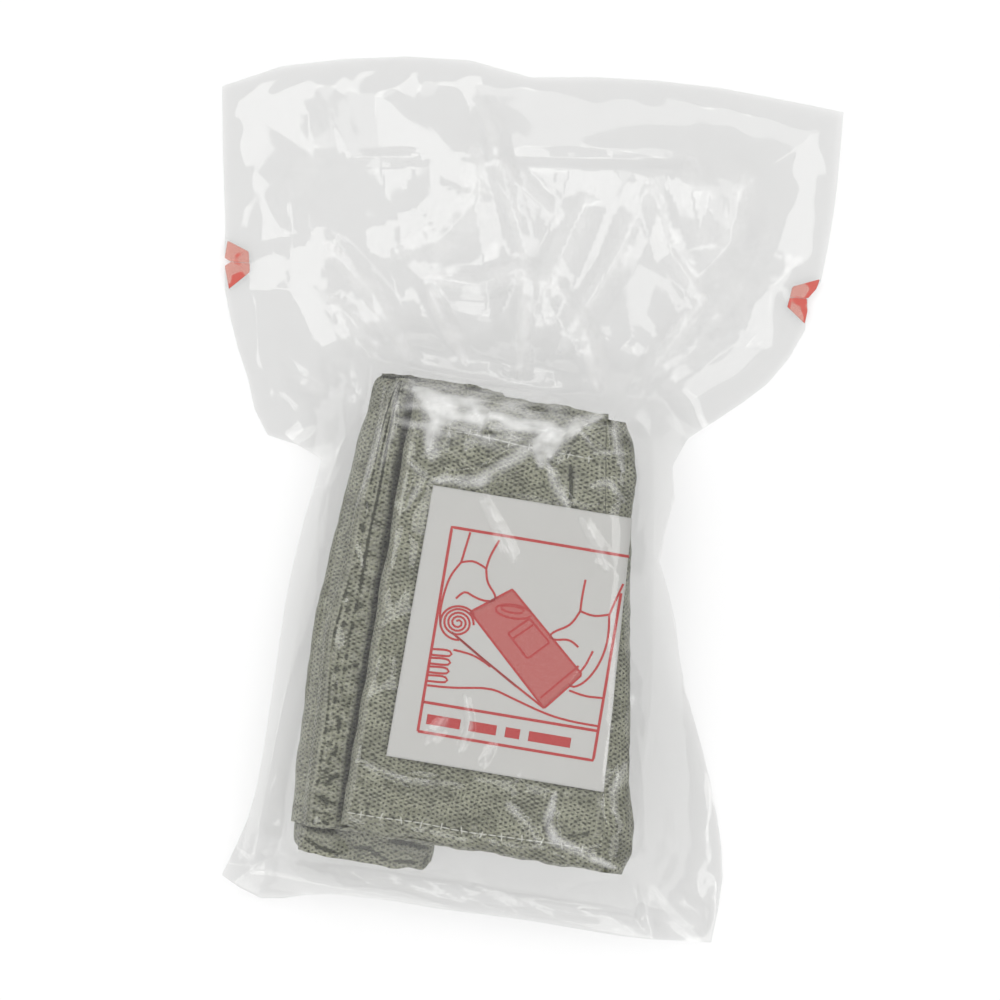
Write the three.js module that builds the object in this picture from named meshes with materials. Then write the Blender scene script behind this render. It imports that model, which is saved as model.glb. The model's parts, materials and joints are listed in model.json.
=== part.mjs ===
// Emergency pressure bandage, folded flat and vacuum-packed in a clear film pouch.
// Units are millimetres. +Y runs along the bandage towards the tear strip, +Z is up off the table.
// The origin is on the pouch's flat back, under the middle of the folded bandage.

import * as THREE from 'three';

// ---------- driving dimensions ----------

const FILM = 0.3;
const GAP = 0.3;
const CREPE = 2.0;

const BANDAGE_LENGTH = 133;
const PAD_LEFT = -28.5;
const PANEL_LEFT = -43;

// The bandage is folded over at its right-hand edge. The fold leans, so the pack is wider at the bottom.
const FOLD_Z = 27;
const FOLD_RADIUS = 7;
const FOLD_LEAN = THREE.MathUtils.degToRad(9);
const FOLD_X = 40;

const BASE_PANEL_Z = FOLD_Z - FOLD_RADIUS;
const FLAP_PANEL_Z = FOLD_Z + FOLD_RADIUS - CREPE;
const FACING = 0.6;
const FACING_OFFSET = 0.2;
const CORE = 3.5;
const CORE_ROUND = 1.2;
const CORE_INSET = 2.5;
const FACING_INSET = 1.5;

// The long end of the wrap, rolled up flat. Its outer end starts at this angle from +X.
const ROLL = {
  x: -23.5,
  y: -3,
  z: 9.7,
  halfWidth: 22.8,
  halfHeight: 9.1,
  length: 146,
  pitch: 2.5,
  turns: 2,
  startAngle: 0.8 * Math.PI,
  squareness: 0.7,
};
const CLOSURE_BAR = { length: 118, width: 12, thickness: 3, hook: 7 };

// The C-shaped bar hangs under the base panel from its upper right-hand edge.
const BAR = {
  length: 118,
  width: 24,
  height: 18,
  wall: 3.2,
  corner: 6,
  lip: 2.5,
  mouth: 5,
  pivotX: 43.5,
  top: 19,
};
const STRAP = { width: 14, thickness: 0.8, y: 38 };

const THREAD = { width: 0.6, height: 0.45, stitch: 5, clearance: 0.25 };
const STITCH_INSET = 6;
const STITCH_END = 4;
const FLAP_STITCH = { lowerStart: 1, lowerEnd: 6, upperStart: 8, upperEnd: 3, upperSetback: 6 };

const SLIP = { x: 11, y: -2, width: 59, height: 81, z: 34.3, thickness: 0.3 };

const POUCH = {
  bottomLeft: [-62, -87],
  bottomRight: [86, -83],
  leftNotch: [-89.7, 94.5],
  rightNotch: [82.8, 112.2],
  topLeft: [-101, 146],
  topRight: [84, 169],
};
const LIFT_OFF_TEAR = 0.4;
const FRONT_FILM_Z = FILM + 0.6;
const HEADER = { from: 75, bulge: 0.8, middle: -5, reach: 75 };
const DRAPE = {
  lowerTop: 23.5,
  lowerMargin: 1,
  lowerRun: 6,
  lowerRight: 5,
  upperTop: 36,
  upperMargin: 1.5,
  upperRun: 7,
};

// Corners of the printed patches beside each notch. The tear line runs between lower and upper ones.
const TEAR_MARKS = {
  tear_mark_left_lower: [[-89.9, 94], [-90.6, 91.4], [-88.9, 86.4], [-83.6, 92.4], [-84.1, 94.6]],
  tear_mark_left_upper: [[-89.3, 95.3], [-91.2, 97.4], [-91.7, 100.6], [-84.9, 98.4], [-84.2, 95.8]],
  tear_mark_right_lower: [[82.4, 111.8], [83.2, 108.4], [83, 104.6], [77, 108.7], [77.3, 111.2]],
  tear_mark_right_upper: [[82.7, 112.9], [84.7, 115.4], [85.3, 118.5], [77.5, 114.9], [77.3, 112.3]],
};
const INK = 0.2;

// ---------- materials ----------

function finish(colour, roughness, options = {}) {
  return new THREE.MeshStandardMaterial({ color: colour, roughness, metalness: 0, ...options });
}

const clearFilm = finish(0xe6e8e8, 0.15, { transparent: true, opacity: 0.3 });
const redInk = finish(0xe5604f, 0.5);
const crepe = finish(0xa2a594, 0.95);
const padCore = finish(0xeeeeea, 0.95);
const padFacing = finish(0xf4f4f0, 0.8);
const thread = finish(0xe8e8e0, 0.8);
const barPlastic = finish(0x6f7468, 0.5);
const hookPlastic = finish(0x7b8074, 0.5);
const paper = finish(0xd7d6d2, 0.85);

// ---------- helpers ----------

function piece(name, geometry, material) {
  const mesh = new THREE.Mesh(geometry, material);
  mesh.name = name;
  return mesh;
}

function outline(points) {
  return new THREE.Shape(points.map(([x, y]) => new THREE.Vector2(x, y)));
}

// A flat plate with the given outline, from height z upwards.
function slab(points, z, thickness) {
  const geometry = new THREE.ExtrudeGeometry(outline(points), { depth: thickness, bevelEnabled: false });
  return geometry.translate(0, 0, z);
}

// A soft plate: the same, with rounded rims that stay inside the outline.
function cushion(points, z, thickness, round) {
  const geometry = new THREE.ExtrudeGeometry(outline(points), {
    depth: thickness - 2 * round,
    bevelThickness: round,
    bevelSize: round,
    bevelOffset: -round,
    bevelSegments: 3,
  });
  return geometry.translate(0, 0, z + round);
}

// A profile drawn in the XZ plane, extruded along +Y from y.
function alongY(shape, y, length, curveSegments = 8) {
  const geometry = new THREE.ExtrudeGeometry(shape, { depth: length, bevelEnabled: false, curveSegments });
  return geometry.rotateX(Math.PI / 2).translate(0, y + length, 0);
}

// x of the fold's axis at a given y.
function foldAxisX(y) {
  return FOLD_X - Math.tan(FOLD_LEAN) * y;
}

// A panel between a straight left edge and a line parallel to the fold.
function foldedPanel(left, length, setback) {
  const half = length / 2;
  return [
    [left, -half],
    [foldAxisX(-half) - setback, -half],
    [foldAxisX(half) - setback, half],
    [left, half],
  ];
}

// ---------- film ----------

function edgeCurve(points) {
  const through = points.map(([x, y]) => new THREE.Vector3(x, y, 0));
  const spline = new THREE.CatmullRomCurve3(through, false, 'centripetal');
  return (t) => spline.getPointAt(t);
}

function straight(from, to) {
  return edgeCurve([from, [(from[0] + to[0]) / 2, (from[1] + to[1]) / 2], to]);
}

// A point of the patch that four edge curves bound, s from left to right and t from bottom to top.
function patchPoint(edges, s, t) {
  const point = new THREE.Vector3();
  point.addScaledVector(edges.left(t), 1 - s).addScaledVector(edges.right(t), s);
  point.addScaledVector(edges.bottom(s), 1 - t).addScaledVector(edges.top(s), t);
  point.addScaledVector(edges.bottom(0), -(1 - s) * (1 - t));
  point.addScaledVector(edges.bottom(1), -s * (1 - t));
  point.addScaledVector(edges.top(0), -(1 - s) * t);
  point.addScaledVector(edges.top(1), -s * t);
  return point;
}

// The outline of a patch, anticlockwise, as a list of [x, y].
function patchOutline(edges, steps) {
  const points = [];
  const sides = [
    (u) => edges.bottom(u),
    (u) => edges.right(u),
    (u) => edges.top(1 - u),
    (u) => edges.left(1 - u),
  ];
  for (const side of sides) {
    for (let i = 0; i < steps; i++) {
      const p = side(i / steps);
      points.push([p.x, p.y]);
    }
  }
  return points;
}

// A closed thin sheet over a patch: its upper face follows height(x, y).
function drapedSheet(edges, columns, rows, height) {
  const positions = [];
  const step = 0.5;
  for (const face of [0, 1]) {
    for (let j = 0; j <= rows; j++) {
      for (let i = 0; i <= columns; i++) {
        const p = patchPoint(edges, i / columns, j / rows);
        const z = height(p.x, p.y);
        const slope = Math.hypot(height(p.x + step, p.y) - z, height(p.x, p.y + step) - z) / step;
        const depth = FILM * Math.min(3, Math.hypot(1, slope));
        positions.push(p.x, p.y, face === 0 ? z : z - depth);
      }
    }
  }
  const across = columns + 1;
  const below = across * (rows + 1);
  const triangles = [];
  const quad = (a, b, c, d) => triangles.push(a, b, c, a, c, d);
  for (let j = 0; j < rows; j++) {
    for (let i = 0; i < columns; i++) {
      const a = j * across + i;
      quad(a, a + 1, a + 1 + across, a + across);
      quad(a + below, a + across + below, a + 1 + across + below, a + 1 + below);
    }
  }
  for (let i = 0; i < columns; i++) {
    const top = rows * across + i;
    quad(i, i + below, i + 1 + below, i + 1);
    quad(top + 1, top + 1 + below, top + below, top);
  }
  for (let j = 0; j < rows; j++) {
    const left = j * across;
    const right = left + columns;
    quad(left + across, left + across + below, left + below, left);
    quad(right, right + below, right + across + below, right + across);
  }
  const geometry = new THREE.BufferGeometry();
  geometry.setAttribute('position', new THREE.Float32BufferAttribute(positions, 3));
  geometry.setIndex(triangles);
  return geometry;
}

// How far a point lies outside a convex anticlockwise outline; negative inside.
function distanceOutside(x, y, points) {
  let furthest = -Infinity;
  points.forEach(([ax, ay], i) => {
    const [bx, by] = points[(i + 1) % points.length];
    const length = Math.hypot(bx - ax, by - ay);
    const distance = ((x - ax) * (by - ay) - (y - ay) * (bx - ax)) / length;
    furthest = Math.max(furthest, distance);
  });
  return furthest;
}

// Height of film stretched over one tier of the pack and down to the seal around it.
function tierHeight(x, y, tier) {
  const t = THREE.MathUtils.clamp((distanceOutside(x, y, tier.outline) - tier.margin) / tier.run, 0, 1);
  return THREE.MathUtils.lerp(tier.top, FRONT_FILM_Z, THREE.MathUtils.smoothstep(t, 0, 1));
}

const rollEnd = ROLL.length / 2;
const LOWER_TIER = {
  outline: [
    [ROLL.x - ROLL.halfWidth, ROLL.y - rollEnd],
    [foldAxisX(ROLL.y - rollEnd) + DRAPE.lowerRight, ROLL.y - rollEnd],
    [foldAxisX(ROLL.y + rollEnd) + DRAPE.lowerRight, ROLL.y + rollEnd],
    [ROLL.x - ROLL.halfWidth, ROLL.y + rollEnd],
  ],
  top: DRAPE.lowerTop,
  margin: DRAPE.lowerMargin,
  run: DRAPE.lowerRun,
};
const UPPER_TIER = {
  outline: foldedPanel(PAD_LEFT, BANDAGE_LENGTH, -FOLD_RADIUS),
  top: DRAPE.upperTop,
  margin: DRAPE.upperMargin,
  run: DRAPE.upperRun,
};

function drapeHeight(x, y) {
  return Math.max(tierHeight(x, y, LOWER_TIER), tierHeight(x, y, UPPER_TIER));
}

const tearLine = straight(POUCH.leftNotch, POUCH.rightNotch);

const pouchEdges = {
  left: edgeCurve([
    POUCH.bottomLeft, [-56.5, -66], [-56, -30], [-56.5, 0], [-54.5, 28], [-53, 41],
    [-62, 44], [-72, 46], [-78, 59], [-86, 75], [-91.2, 91.8], POUCH.leftNotch,
  ]),
  right: edgeCurve([
    POUCH.bottomRight, [86, -62], [78, -36], [64, -5], [58, 14], [51, 29],
    [53, 45], [51, 60], [63, 73], [75, 85], [83.5, 103], POUCH.rightNotch,
  ]),
  bottom: edgeCurve([
    POUCH.bottomLeft, [-49, -92], [-32, -87.5], [-15, -86],
    [4, -86], [31, -85], [61, -85], POUCH.bottomRight,
  ]),
  top: tearLine,
};

const raised = ([x, y]) => [x, y + LIFT_OFF_TEAR];
const stripEdges = {
  left: edgeCurve([raised(POUCH.leftNotch), [-91.9, 96.6], [-92.6, 102], [-97, 124], POUCH.topLeft]),
  right: edgeCurve([raised(POUCH.rightNotch), [85.2, 115], [85.7, 119], [86, 141], POUCH.topRight]),
  bottom: straight(raised(POUCH.leftNotch), raised(POUCH.rightNotch)),
  top: edgeCurve([
    POUCH.topLeft, [-84, 155], [-62, 161], [-31, 166], [-15, 163.5], [8, 167], [40, 170], POUCH.topRight,
  ]),
};

// The header films stand slightly apart, most along the middle.
function headerHeight(x, y) {
  const inside = THREE.MathUtils.clamp(1 - Math.abs(x - HEADER.middle) / HEADER.reach, 0, 1);
  return FRONT_FILM_Z + HEADER.bulge * THREE.MathUtils.smoothstep(inside, 0, 1);
}

function pouchFrontHeight(x, y) {
  return Math.max(drapeHeight(x, y), y > HEADER.from ? headerHeight(x, y) : FRONT_FILM_Z);
}

function counterClockwise(points) {
  const corners = points.map(([x, y]) => new THREE.Vector2(x, y));
  return THREE.ShapeUtils.isClockWise(corners) ? [...points].reverse() : points;
}

function inkPatch(name) {
  return piece(name, slab(counterClockwise(TEAR_MARKS[name]), FRONT_FILM_Z + GAP, INK), redInk);
}

function buildPouch() {
  const group = new THREE.Group();
  group.add(piece('pouch_back_film', slab(patchOutline(pouchEdges, 22), 0, FILM), clearFilm));
  group.add(piece('pouch_front_film', drapedSheet(pouchEdges, 36, 52, pouchFrontHeight), clearFilm));
  group.add(inkPatch('tear_mark_left_lower'));
  group.add(inkPatch('tear_mark_right_lower'));
  return group;
}

function buildTearStrip() {
  const group = new THREE.Group();
  group.add(piece('strip_back_film', slab(patchOutline(stripEdges, 10), 0, FILM), clearFilm));
  group.add(piece('strip_front_film', drapedSheet(stripEdges, 24, 7, headerHeight), clearFilm));
  group.add(inkPatch('tear_mark_left_upper'));
  group.add(inkPatch('tear_mark_right_upper'));
  return group;
}

// ---------- bandage ----------

// A row of running stitches seen from the side: bumps along +X, closed underneath.
function threadRow(fromX, toX, y, z, lean = 0) {
  const count = Math.round((toX - fromX) / THREAD.stitch);
  const stitch = (toX - fromX) / count;
  const shape = new THREE.Shape();
  shape.moveTo(fromX, 0);
  shape.lineTo(toX, 0);
  shape.lineTo(toX, THREAD.height / 3);
  for (let i = count - 1; i >= 0; i--) {
    const x = fromX + i * stitch;
    shape.lineTo(x + stitch * 0.8, THREAD.height);
    shape.lineTo(x + stitch * 0.2, THREAD.height);
    shape.lineTo(x, THREAD.height / 3);
  }
  const geometry = alongY(shape, -THREAD.width / 2, THREAD.width);
  return geometry.rotateZ(lean).translate(0, y, z);
}

const stitchY = BANDAGE_LENGTH / 2 - STITCH_INSET;

// The pad's outline, drawn in from its rims on all four sides.
function padOutline(inset) {
  return foldedPanel(PAD_LEFT + inset, BANDAGE_LENGTH - 2 * inset, inset);
}

function padCoreShape(z) {
  return cushion(padOutline(CORE_INSET), z, CORE, CORE_ROUND);
}

function padFacingShape(z) {
  return slab(padOutline(FACING_INSET), z, FACING);
}

function wrapPanel(left, z) {
  return slab(foldedPanel(left, BANDAGE_LENGTH, 0), z, CREPE);
}

function buildBase() {
  const group = new THREE.Group();
  group.add(piece('base_wrap_panel', wrapPanel(PANEL_LEFT, BASE_PANEL_Z), crepe));
  group.add(piece('base_pad_core', padCoreShape(BASE_PANEL_Z + CREPE + GAP), padCore));
  group.add(piece('base_pad_facing', padFacingShape(FOLD_Z - FACING_OFFSET - FACING), padFacing));
  const threadZ = BASE_PANEL_Z - THREAD.clearance - THREAD.height;
  const upper = threadRow(PAD_LEFT, foldAxisX(stitchY) - STITCH_END, stitchY, threadZ);
  const lower = threadRow(PAD_LEFT, foldAxisX(-stitchY) - STITCH_END, -stitchY, threadZ);
  group.add(piece('base_stitch_top', upper, thread));
  group.add(piece('base_stitch_bottom', lower, thread));
  group.add(piece('fold_web', foldWeb(), crepe));
  group.add(piece('bar_strap_top', barStrap(STRAP.y), crepe));
  group.add(piece('bar_strap_bottom', barStrap(-STRAP.y), crepe));
  return group;
}

function buildFlap() {
  const group = new THREE.Group();
  const { lowerStart, lowerEnd, upperStart, upperEnd, upperSetback } = FLAP_STITCH;
  group.add(piece('flap_wrap_panel', wrapPanel(PAD_LEFT, FLAP_PANEL_Z), crepe));
  group.add(piece('flap_pad_core', padCoreShape(FLAP_PANEL_Z - GAP - CORE), padCore));
  group.add(piece('flap_pad_facing', padFacingShape(FOLD_Z + FACING_OFFSET), padFacing));
  const threadZ = FLAP_PANEL_Z + CREPE + THREAD.clearance;
  const upperY = stitchY - upperSetback;
  const lower = threadRow(PAD_LEFT + lowerStart, foldAxisX(-stitchY) - lowerEnd, -stitchY, threadZ);
  const upper = threadRow(PAD_LEFT + upperStart, foldAxisX(upperY) - upperEnd, upperY, threadZ);
  group.add(piece('flap_stitch_bottom', lower, thread));
  group.add(piece('flap_stitch_top', upper, thread));
  return group;
}

// The crepe that turns from the base panel up into the flap panel.
function foldWeb() {
  const shape = new THREE.Shape();
  shape.absarc(0, 0, FOLD_RADIUS, -Math.PI / 2, Math.PI / 2, false);
  shape.absarc(0, 0, FOLD_RADIUS - CREPE, Math.PI / 2, -Math.PI / 2, true);
  const length = BANDAGE_LENGTH - 2;
  return alongY(shape, -length / 2, length, 12).rotateZ(FOLD_LEAN).translate(FOLD_X + GAP, 0, FOLD_Z);
}

// ---------- leader roll ----------

// A point of a flattened roll's outline: a superellipse, so that its layers lie flat above and below.
function rollPoint(angle, halfWidth, halfHeight) {
  const squared = (value) => Math.sign(value) * Math.abs(value) ** ROLL.squareness;
  return new THREE.Vector2(halfWidth * squared(Math.cos(angle)), halfHeight * squared(Math.sin(angle)));
}

function rollProfile() {
  const stepsPerTurn = 28;
  const steps = ROLL.turns * stepsPerTurn;
  const outer = [];
  const inner = [];
  for (let i = 0; i <= steps; i++) {
    const turn = i / stepsPerTurn;
    const angle = ROLL.startAngle - turn * 2 * Math.PI;
    const shrink = ROLL.pitch * turn;
    outer.push(rollPoint(angle, ROLL.halfWidth - shrink, ROLL.halfHeight - shrink));
    inner.push(rollPoint(angle, ROLL.halfWidth - shrink - CREPE, ROLL.halfHeight - shrink - CREPE));
  }
  return new THREE.Shape([...outer, ...inner.reverse()]);
}

// A flat moulded bar whose two ends turn up into hooks, drawn from the side.
function closureBarProfile() {
  const half = CLOSURE_BAR.length / 2;
  const lip = CLOSURE_BAR.thickness / 3;
  const shape = new THREE.Shape();
  shape.moveTo(-half, -CLOSURE_BAR.thickness / 2);
  shape.lineTo(half, -CLOSURE_BAR.thickness / 2);
  shape.lineTo(half, CLOSURE_BAR.thickness / 2);
  shape.lineTo(half - CLOSURE_BAR.hook, CLOSURE_BAR.thickness / 2);
  shape.lineTo(half - CLOSURE_BAR.hook, CLOSURE_BAR.thickness / 2 - lip);
  shape.lineTo(-half + CLOSURE_BAR.hook, CLOSURE_BAR.thickness / 2 - lip);
  shape.lineTo(-half + CLOSURE_BAR.hook, CLOSURE_BAR.thickness / 2);
  shape.lineTo(-half, CLOSURE_BAR.thickness / 2);
  return shape;
}

function buildLeader() {
  const group = new THREE.Group();
  const roll = alongY(rollProfile(), ROLL.y - rollEnd, ROLL.length).translate(ROLL.x, 0, ROLL.z);
  group.add(piece('leader_roll', roll, crepe));
  const bar = new THREE.ExtrudeGeometry(closureBarProfile(), {
    depth: CLOSURE_BAR.width,
    bevelEnabled: false,
  });
  bar.translate(0, 0, -CLOSURE_BAR.width / 2).rotateX(Math.PI / 2).rotateZ(Math.PI / 2);
  group.add(piece('closure_bar', bar.translate(ROLL.x, ROLL.y, ROLL.z), hookPlastic));
  return group;
}

// ---------- pressure bar ----------

// The moulded bar from the side: a long C. The wrap is threaded through its mouth and turned back.
function pressureBarProfile() {
  const half = BAR.length / 2;
  const { wall, corner, lip } = BAR;
  const bottom = -BAR.height;
  const inside = half - wall - lip;
  const hookEnd = bottom + wall + lip + BAR.mouth;
  const quarter = Math.PI / 2;
  const shape = new THREE.Shape();
  shape.moveTo(-half, hookEnd);
  shape.lineTo(-half, -wall);
  shape.lineTo(-half + wall, 0);
  shape.lineTo(half - corner, 0);
  shape.absarc(half - corner, -corner, corner, quarter, 0, true);
  shape.absarc(half - corner, bottom + corner, corner, 0, -quarter, true);
  shape.lineTo(-half + wall, bottom);
  shape.lineTo(-half, bottom + wall);
  shape.lineTo(-half, bottom + wall + lip);
  shape.lineTo(-half + wall, bottom + wall + lip);
  shape.lineTo(-half + wall + lip, bottom + wall);
  shape.lineTo(inside, bottom + wall);
  shape.absarc(inside, bottom + wall + lip, lip, -quarter, 0, false);
  shape.absarc(inside, -wall - lip, lip, 0, quarter, false);
  shape.lineTo(-half + wall, -wall);
  shape.lineTo(-half + wall, hookEnd);
  return shape;
}

function buildPressureBar() {
  const geometry = new THREE.ExtrudeGeometry(pressureBarProfile(), {
    depth: BAR.width,
    bevelEnabled: false,
    curveSegments: 6,
  });
  geometry.translate(0, 0, -BAR.width / 2).rotateX(Math.PI / 2).rotateZ(Math.PI / 2);
  geometry.translate(-BAR.width / 2, 0, 0).rotateZ(FOLD_LEAN).translate(BAR.pivotX, 0, BAR.top);
  return piece('pressure_bar', geometry, barPlastic);
}

// A crepe loop that passes under the bar's upper wall and is sewn to the base panel on both sides.
function barStrap(y) {
  const left = -BAR.width - GAP;
  const depth = -BAR.wall - GAP;
  const shape = new THREE.Shape();
  shape.moveTo(left, GAP);
  shape.lineTo(left - STRAP.thickness, GAP);
  shape.lineTo(left - STRAP.thickness, depth - STRAP.thickness);
  shape.lineTo(GAP + STRAP.thickness, depth - STRAP.thickness);
  shape.lineTo(GAP + STRAP.thickness, GAP);
  shape.lineTo(GAP, GAP);
  shape.lineTo(GAP, depth);
  shape.lineTo(left, depth);
  const strap = alongY(shape, y - STRAP.width / 2, STRAP.width);
  return strap.rotateZ(FOLD_LEAN).translate(BAR.pivotX, 0, BAR.top);
}

// ---------- instruction slip ----------

function buildSlip() {
  const geometry = new THREE.BoxGeometry(SLIP.width, SLIP.height, SLIP.thickness);
  return piece('instruction_slip', geometry.translate(SLIP.x, SLIP.y, SLIP.z + SLIP.thickness / 2), paper);
}

const bandagePack = new THREE.Group();
bandagePack.name = 'emergency_bandage_pack';
bandagePack.add(buildPouch());
bandagePack.add(buildTearStrip());
bandagePack.add(buildBase());
bandagePack.add(buildFlap());
bandagePack.add(buildLeader());
bandagePack.add(buildPressureBar());
bandagePack.add(buildSlip());

export default bandagePack;
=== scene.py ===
"""Looks of a folded emergency pressure bandage, vacuum-packed in a clear film pouch.

Lengths are worked out in millimetres and turned into metres when a mesh is made. +Y runs along the
bandage towards the tear strip and +Z is up off the table.
"""
import json
import math

import bmesh
import bpy
import numpy as np
from mathutils.bvhtree import BVHTree
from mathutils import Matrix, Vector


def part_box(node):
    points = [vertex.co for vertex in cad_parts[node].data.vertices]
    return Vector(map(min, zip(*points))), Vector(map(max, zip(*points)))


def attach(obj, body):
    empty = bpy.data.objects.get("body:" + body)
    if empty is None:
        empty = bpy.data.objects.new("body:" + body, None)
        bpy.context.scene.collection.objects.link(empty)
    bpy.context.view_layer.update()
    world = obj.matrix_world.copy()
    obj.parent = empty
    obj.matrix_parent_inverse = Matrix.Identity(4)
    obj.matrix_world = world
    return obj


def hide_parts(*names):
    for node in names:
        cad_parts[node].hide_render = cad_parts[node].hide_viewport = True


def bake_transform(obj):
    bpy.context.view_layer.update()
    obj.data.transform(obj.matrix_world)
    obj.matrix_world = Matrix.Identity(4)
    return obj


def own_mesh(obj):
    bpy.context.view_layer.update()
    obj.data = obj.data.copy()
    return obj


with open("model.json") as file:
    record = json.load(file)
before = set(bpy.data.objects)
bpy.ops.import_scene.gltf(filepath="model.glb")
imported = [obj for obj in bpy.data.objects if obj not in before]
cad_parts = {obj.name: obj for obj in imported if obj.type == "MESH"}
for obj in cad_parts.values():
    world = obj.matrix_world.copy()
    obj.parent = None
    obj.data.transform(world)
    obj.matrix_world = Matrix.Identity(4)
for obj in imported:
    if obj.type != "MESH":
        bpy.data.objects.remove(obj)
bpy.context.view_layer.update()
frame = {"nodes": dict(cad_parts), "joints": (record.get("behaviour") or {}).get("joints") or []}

MM = 0.001


# ---------- reading the frame ----------

def points_of(node):
    """A CAD node's vertices in millimetres."""
    return np.array([v.co for v in frame["nodes"][node].data.vertices]) / MM


def box_of(node):
    low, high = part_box(node)
    return np.array(low) / MM, np.array(high) / MM


def corners_of(node):
    """The four corners of a panel, anticlockwise from the lower left, as (x, y) rows."""
    p = points_of(node)
    x, y = p[:, 0], p[:, 1]
    picks = [np.argmin(x + y), np.argmax(x - y), np.argmax(x + y), np.argmin(x - y)]
    return p[picks, :2]


def outline_of(node):
    """The outline of a flat node, anticlockwise from above, as (x, y) rows."""
    bm = bmesh.new()
    bm.from_mesh(frame["nodes"][node].data)
    bmesh.ops.remove_doubles(bm, verts=bm.verts, dist=1e-6)
    bm.normal_update()
    # A dict keeps the faces in order, so the walk starts at the same vertex every time.
    under = dict.fromkeys(f for f in bm.faces if f.normal.z < -0.9)
    ahead = {}
    for face in under:
        for loop in face.loops:
            if sum(f in under for f in loop.edge.link_faces) == 1:
                ahead[loop.link_loop_next.vert] = loop.vert
    start = next(iter(ahead))
    walk = [start]
    while ahead[walk[-1]] is not start:
        walk.append(ahead[walk[-1]])
    points = np.array([v.co[:2] for v in walk]) / MM
    bm.free()
    return points


# ---------- noise and distances ----------

def lattice(ix, iy, seed):
    """A repeatable number from 0 to 1 for each lattice point."""
    h = (ix.astype(np.int64) * 374761393 + iy.astype(np.int64) * 668265263 + seed * 144665) & 0xFFFFFFFF
    h = ((h ^ (h >> 13)) * 1274126177) & 0xFFFFFFFF
    return ((h ^ (h >> 16)) & 0xFFFFFF) / float(0x1000000)


def fade(t):
    return t * t * t * (t * (t * 6 - 15) + 10)


def smooth(low, high, value):
    t = np.clip((value - low) / (high - low), 0, 1)
    return t * t * (3 - 2 * t)


def noise(x, y, seed=0):
    """Gradient noise from about -1 to 1, with features about one unit across."""
    x0, y0 = np.floor(x), np.floor(y)
    fx, fy = x - x0, y - y0
    total = np.zeros_like(fx)
    for cx in (0, 1):
        for cy in (0, 1):
            angle = lattice(x0 + cx, y0 + cy, seed) * 2 * math.pi
            reach = np.cos(angle) * (fx - cx) + np.sin(angle) * (fy - cy)
            total += reach * fade(1 - np.abs(fx - cx)) * fade(1 - np.abs(fy - cy))
    return total * 1.4


def wave(u, seed):
    """Noise along one line."""
    return noise(u, u * 0, seed)


def planes(x, y, seed=0):
    """Flat three-cornered facets between random heights from 0 to 1, about one unit across."""
    u, v = x + y / 1.732, y * 1.1547
    u0, v0 = np.floor(u), np.floor(v)
    fu, fv = u - u0, v - v0
    low = fu + fv < 1
    near = np.where(low, lattice(u0, v0, seed), lattice(u0 + 1, v0 + 1, seed))
    along = np.where(low, lattice(u0 + 1, v0, seed), lattice(u0, v0 + 1, seed))
    up = np.where(low, lattice(u0, v0 + 1, seed), lattice(u0 + 1, v0, seed))
    a = np.where(low, fu, 1 - fu)
    b = np.where(low, fv, 1 - fv)
    return near * (1 - a - b) + along * a + up * b


def outside(x, y, polygon):
    """Distance outside a convex anticlockwise polygon; negative inside."""
    furthest = np.full_like(x, -1e9)
    for (ax, ay), (bx, by) in zip(polygon, np.roll(polygon, -1, axis=0)):
        length = math.hypot(bx - ax, by - ay)
        furthest = np.maximum(furthest, ((x - ax) * (by - ay) - (y - ay) * (bx - ax)) / length)
    return furthest


def to_line(x, y, line):
    """Distance to a polyline, and how far along it the nearest point is, from 0 to 1."""
    best = np.full_like(x, 1e9)
    along = np.zeros_like(x)
    count = len(line) - 1
    for i in range(count):
        (ax, ay), (bx, by) = line[i], line[i + 1]
        dx, dy = bx - ax, by - ay
        t = np.clip(((x - ax) * dx + (y - ay) * dy) / (dx * dx + dy * dy), 0, 1)
        d = np.hypot(x - ax - t * dx, y - ay - t * dy)
        nearer = d < best
        best = np.where(nearer, d, best)
        along = np.where(nearer, (i + t) / count, along)
    return best, along


# ---------- mesh building ----------

def linked(name, data):
    obj = bpy.data.objects.new(name, data)
    bpy.context.scene.collection.objects.link(obj)
    return obj


def new_piece(name, points, faces, soft=True):
    """An object made of points in millimetres; soft shades across its edges."""
    mesh = bpy.data.meshes.new(name)
    mesh.from_pydata((np.asarray(points) * MM).tolist(), [], faces)
    if soft:
        mesh.shade_smooth()
    return linked(name, mesh)


def grid_normals(points):
    """Unit normals of a grid of points, (rows, columns, 3)."""
    normals = np.cross(np.gradient(points, axis=1), np.gradient(points, axis=0))
    return normals / np.maximum(np.linalg.norm(normals, axis=2)[..., None], 1e-9)


# Half the width, in millimetres, over which a dip in the cloth is measured.
HOLLOW_SPAN = 1.3


def hollows(points, reach=2):
    """How far each grid point sits below its surroundings, in millimetres; negative on a crest."""
    wide = np.pad(points, ((reach, reach), (reach, reach), (0, 0)), mode="reflect", reflect_type="odd")
    rows, cols = points.shape[:2]
    normals = grid_normals(points)
    total = np.zeros((rows, cols))
    for down, across in ((1, 0), (0, 1)):
        before = wide[reach - down * reach:, reach - across * reach:][:rows, :cols]
        after = wide[reach + down * reach:, reach + across * reach:][:rows, :cols]
        half = np.linalg.norm(after - before, axis=2) / 2
        sag = (((before + after) / 2 - points) * normals).sum(2)
        total += sag * np.clip((HOLLOW_SPAN / np.maximum(half, 0.05)) ** 2, 0, 5)
    return total


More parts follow.
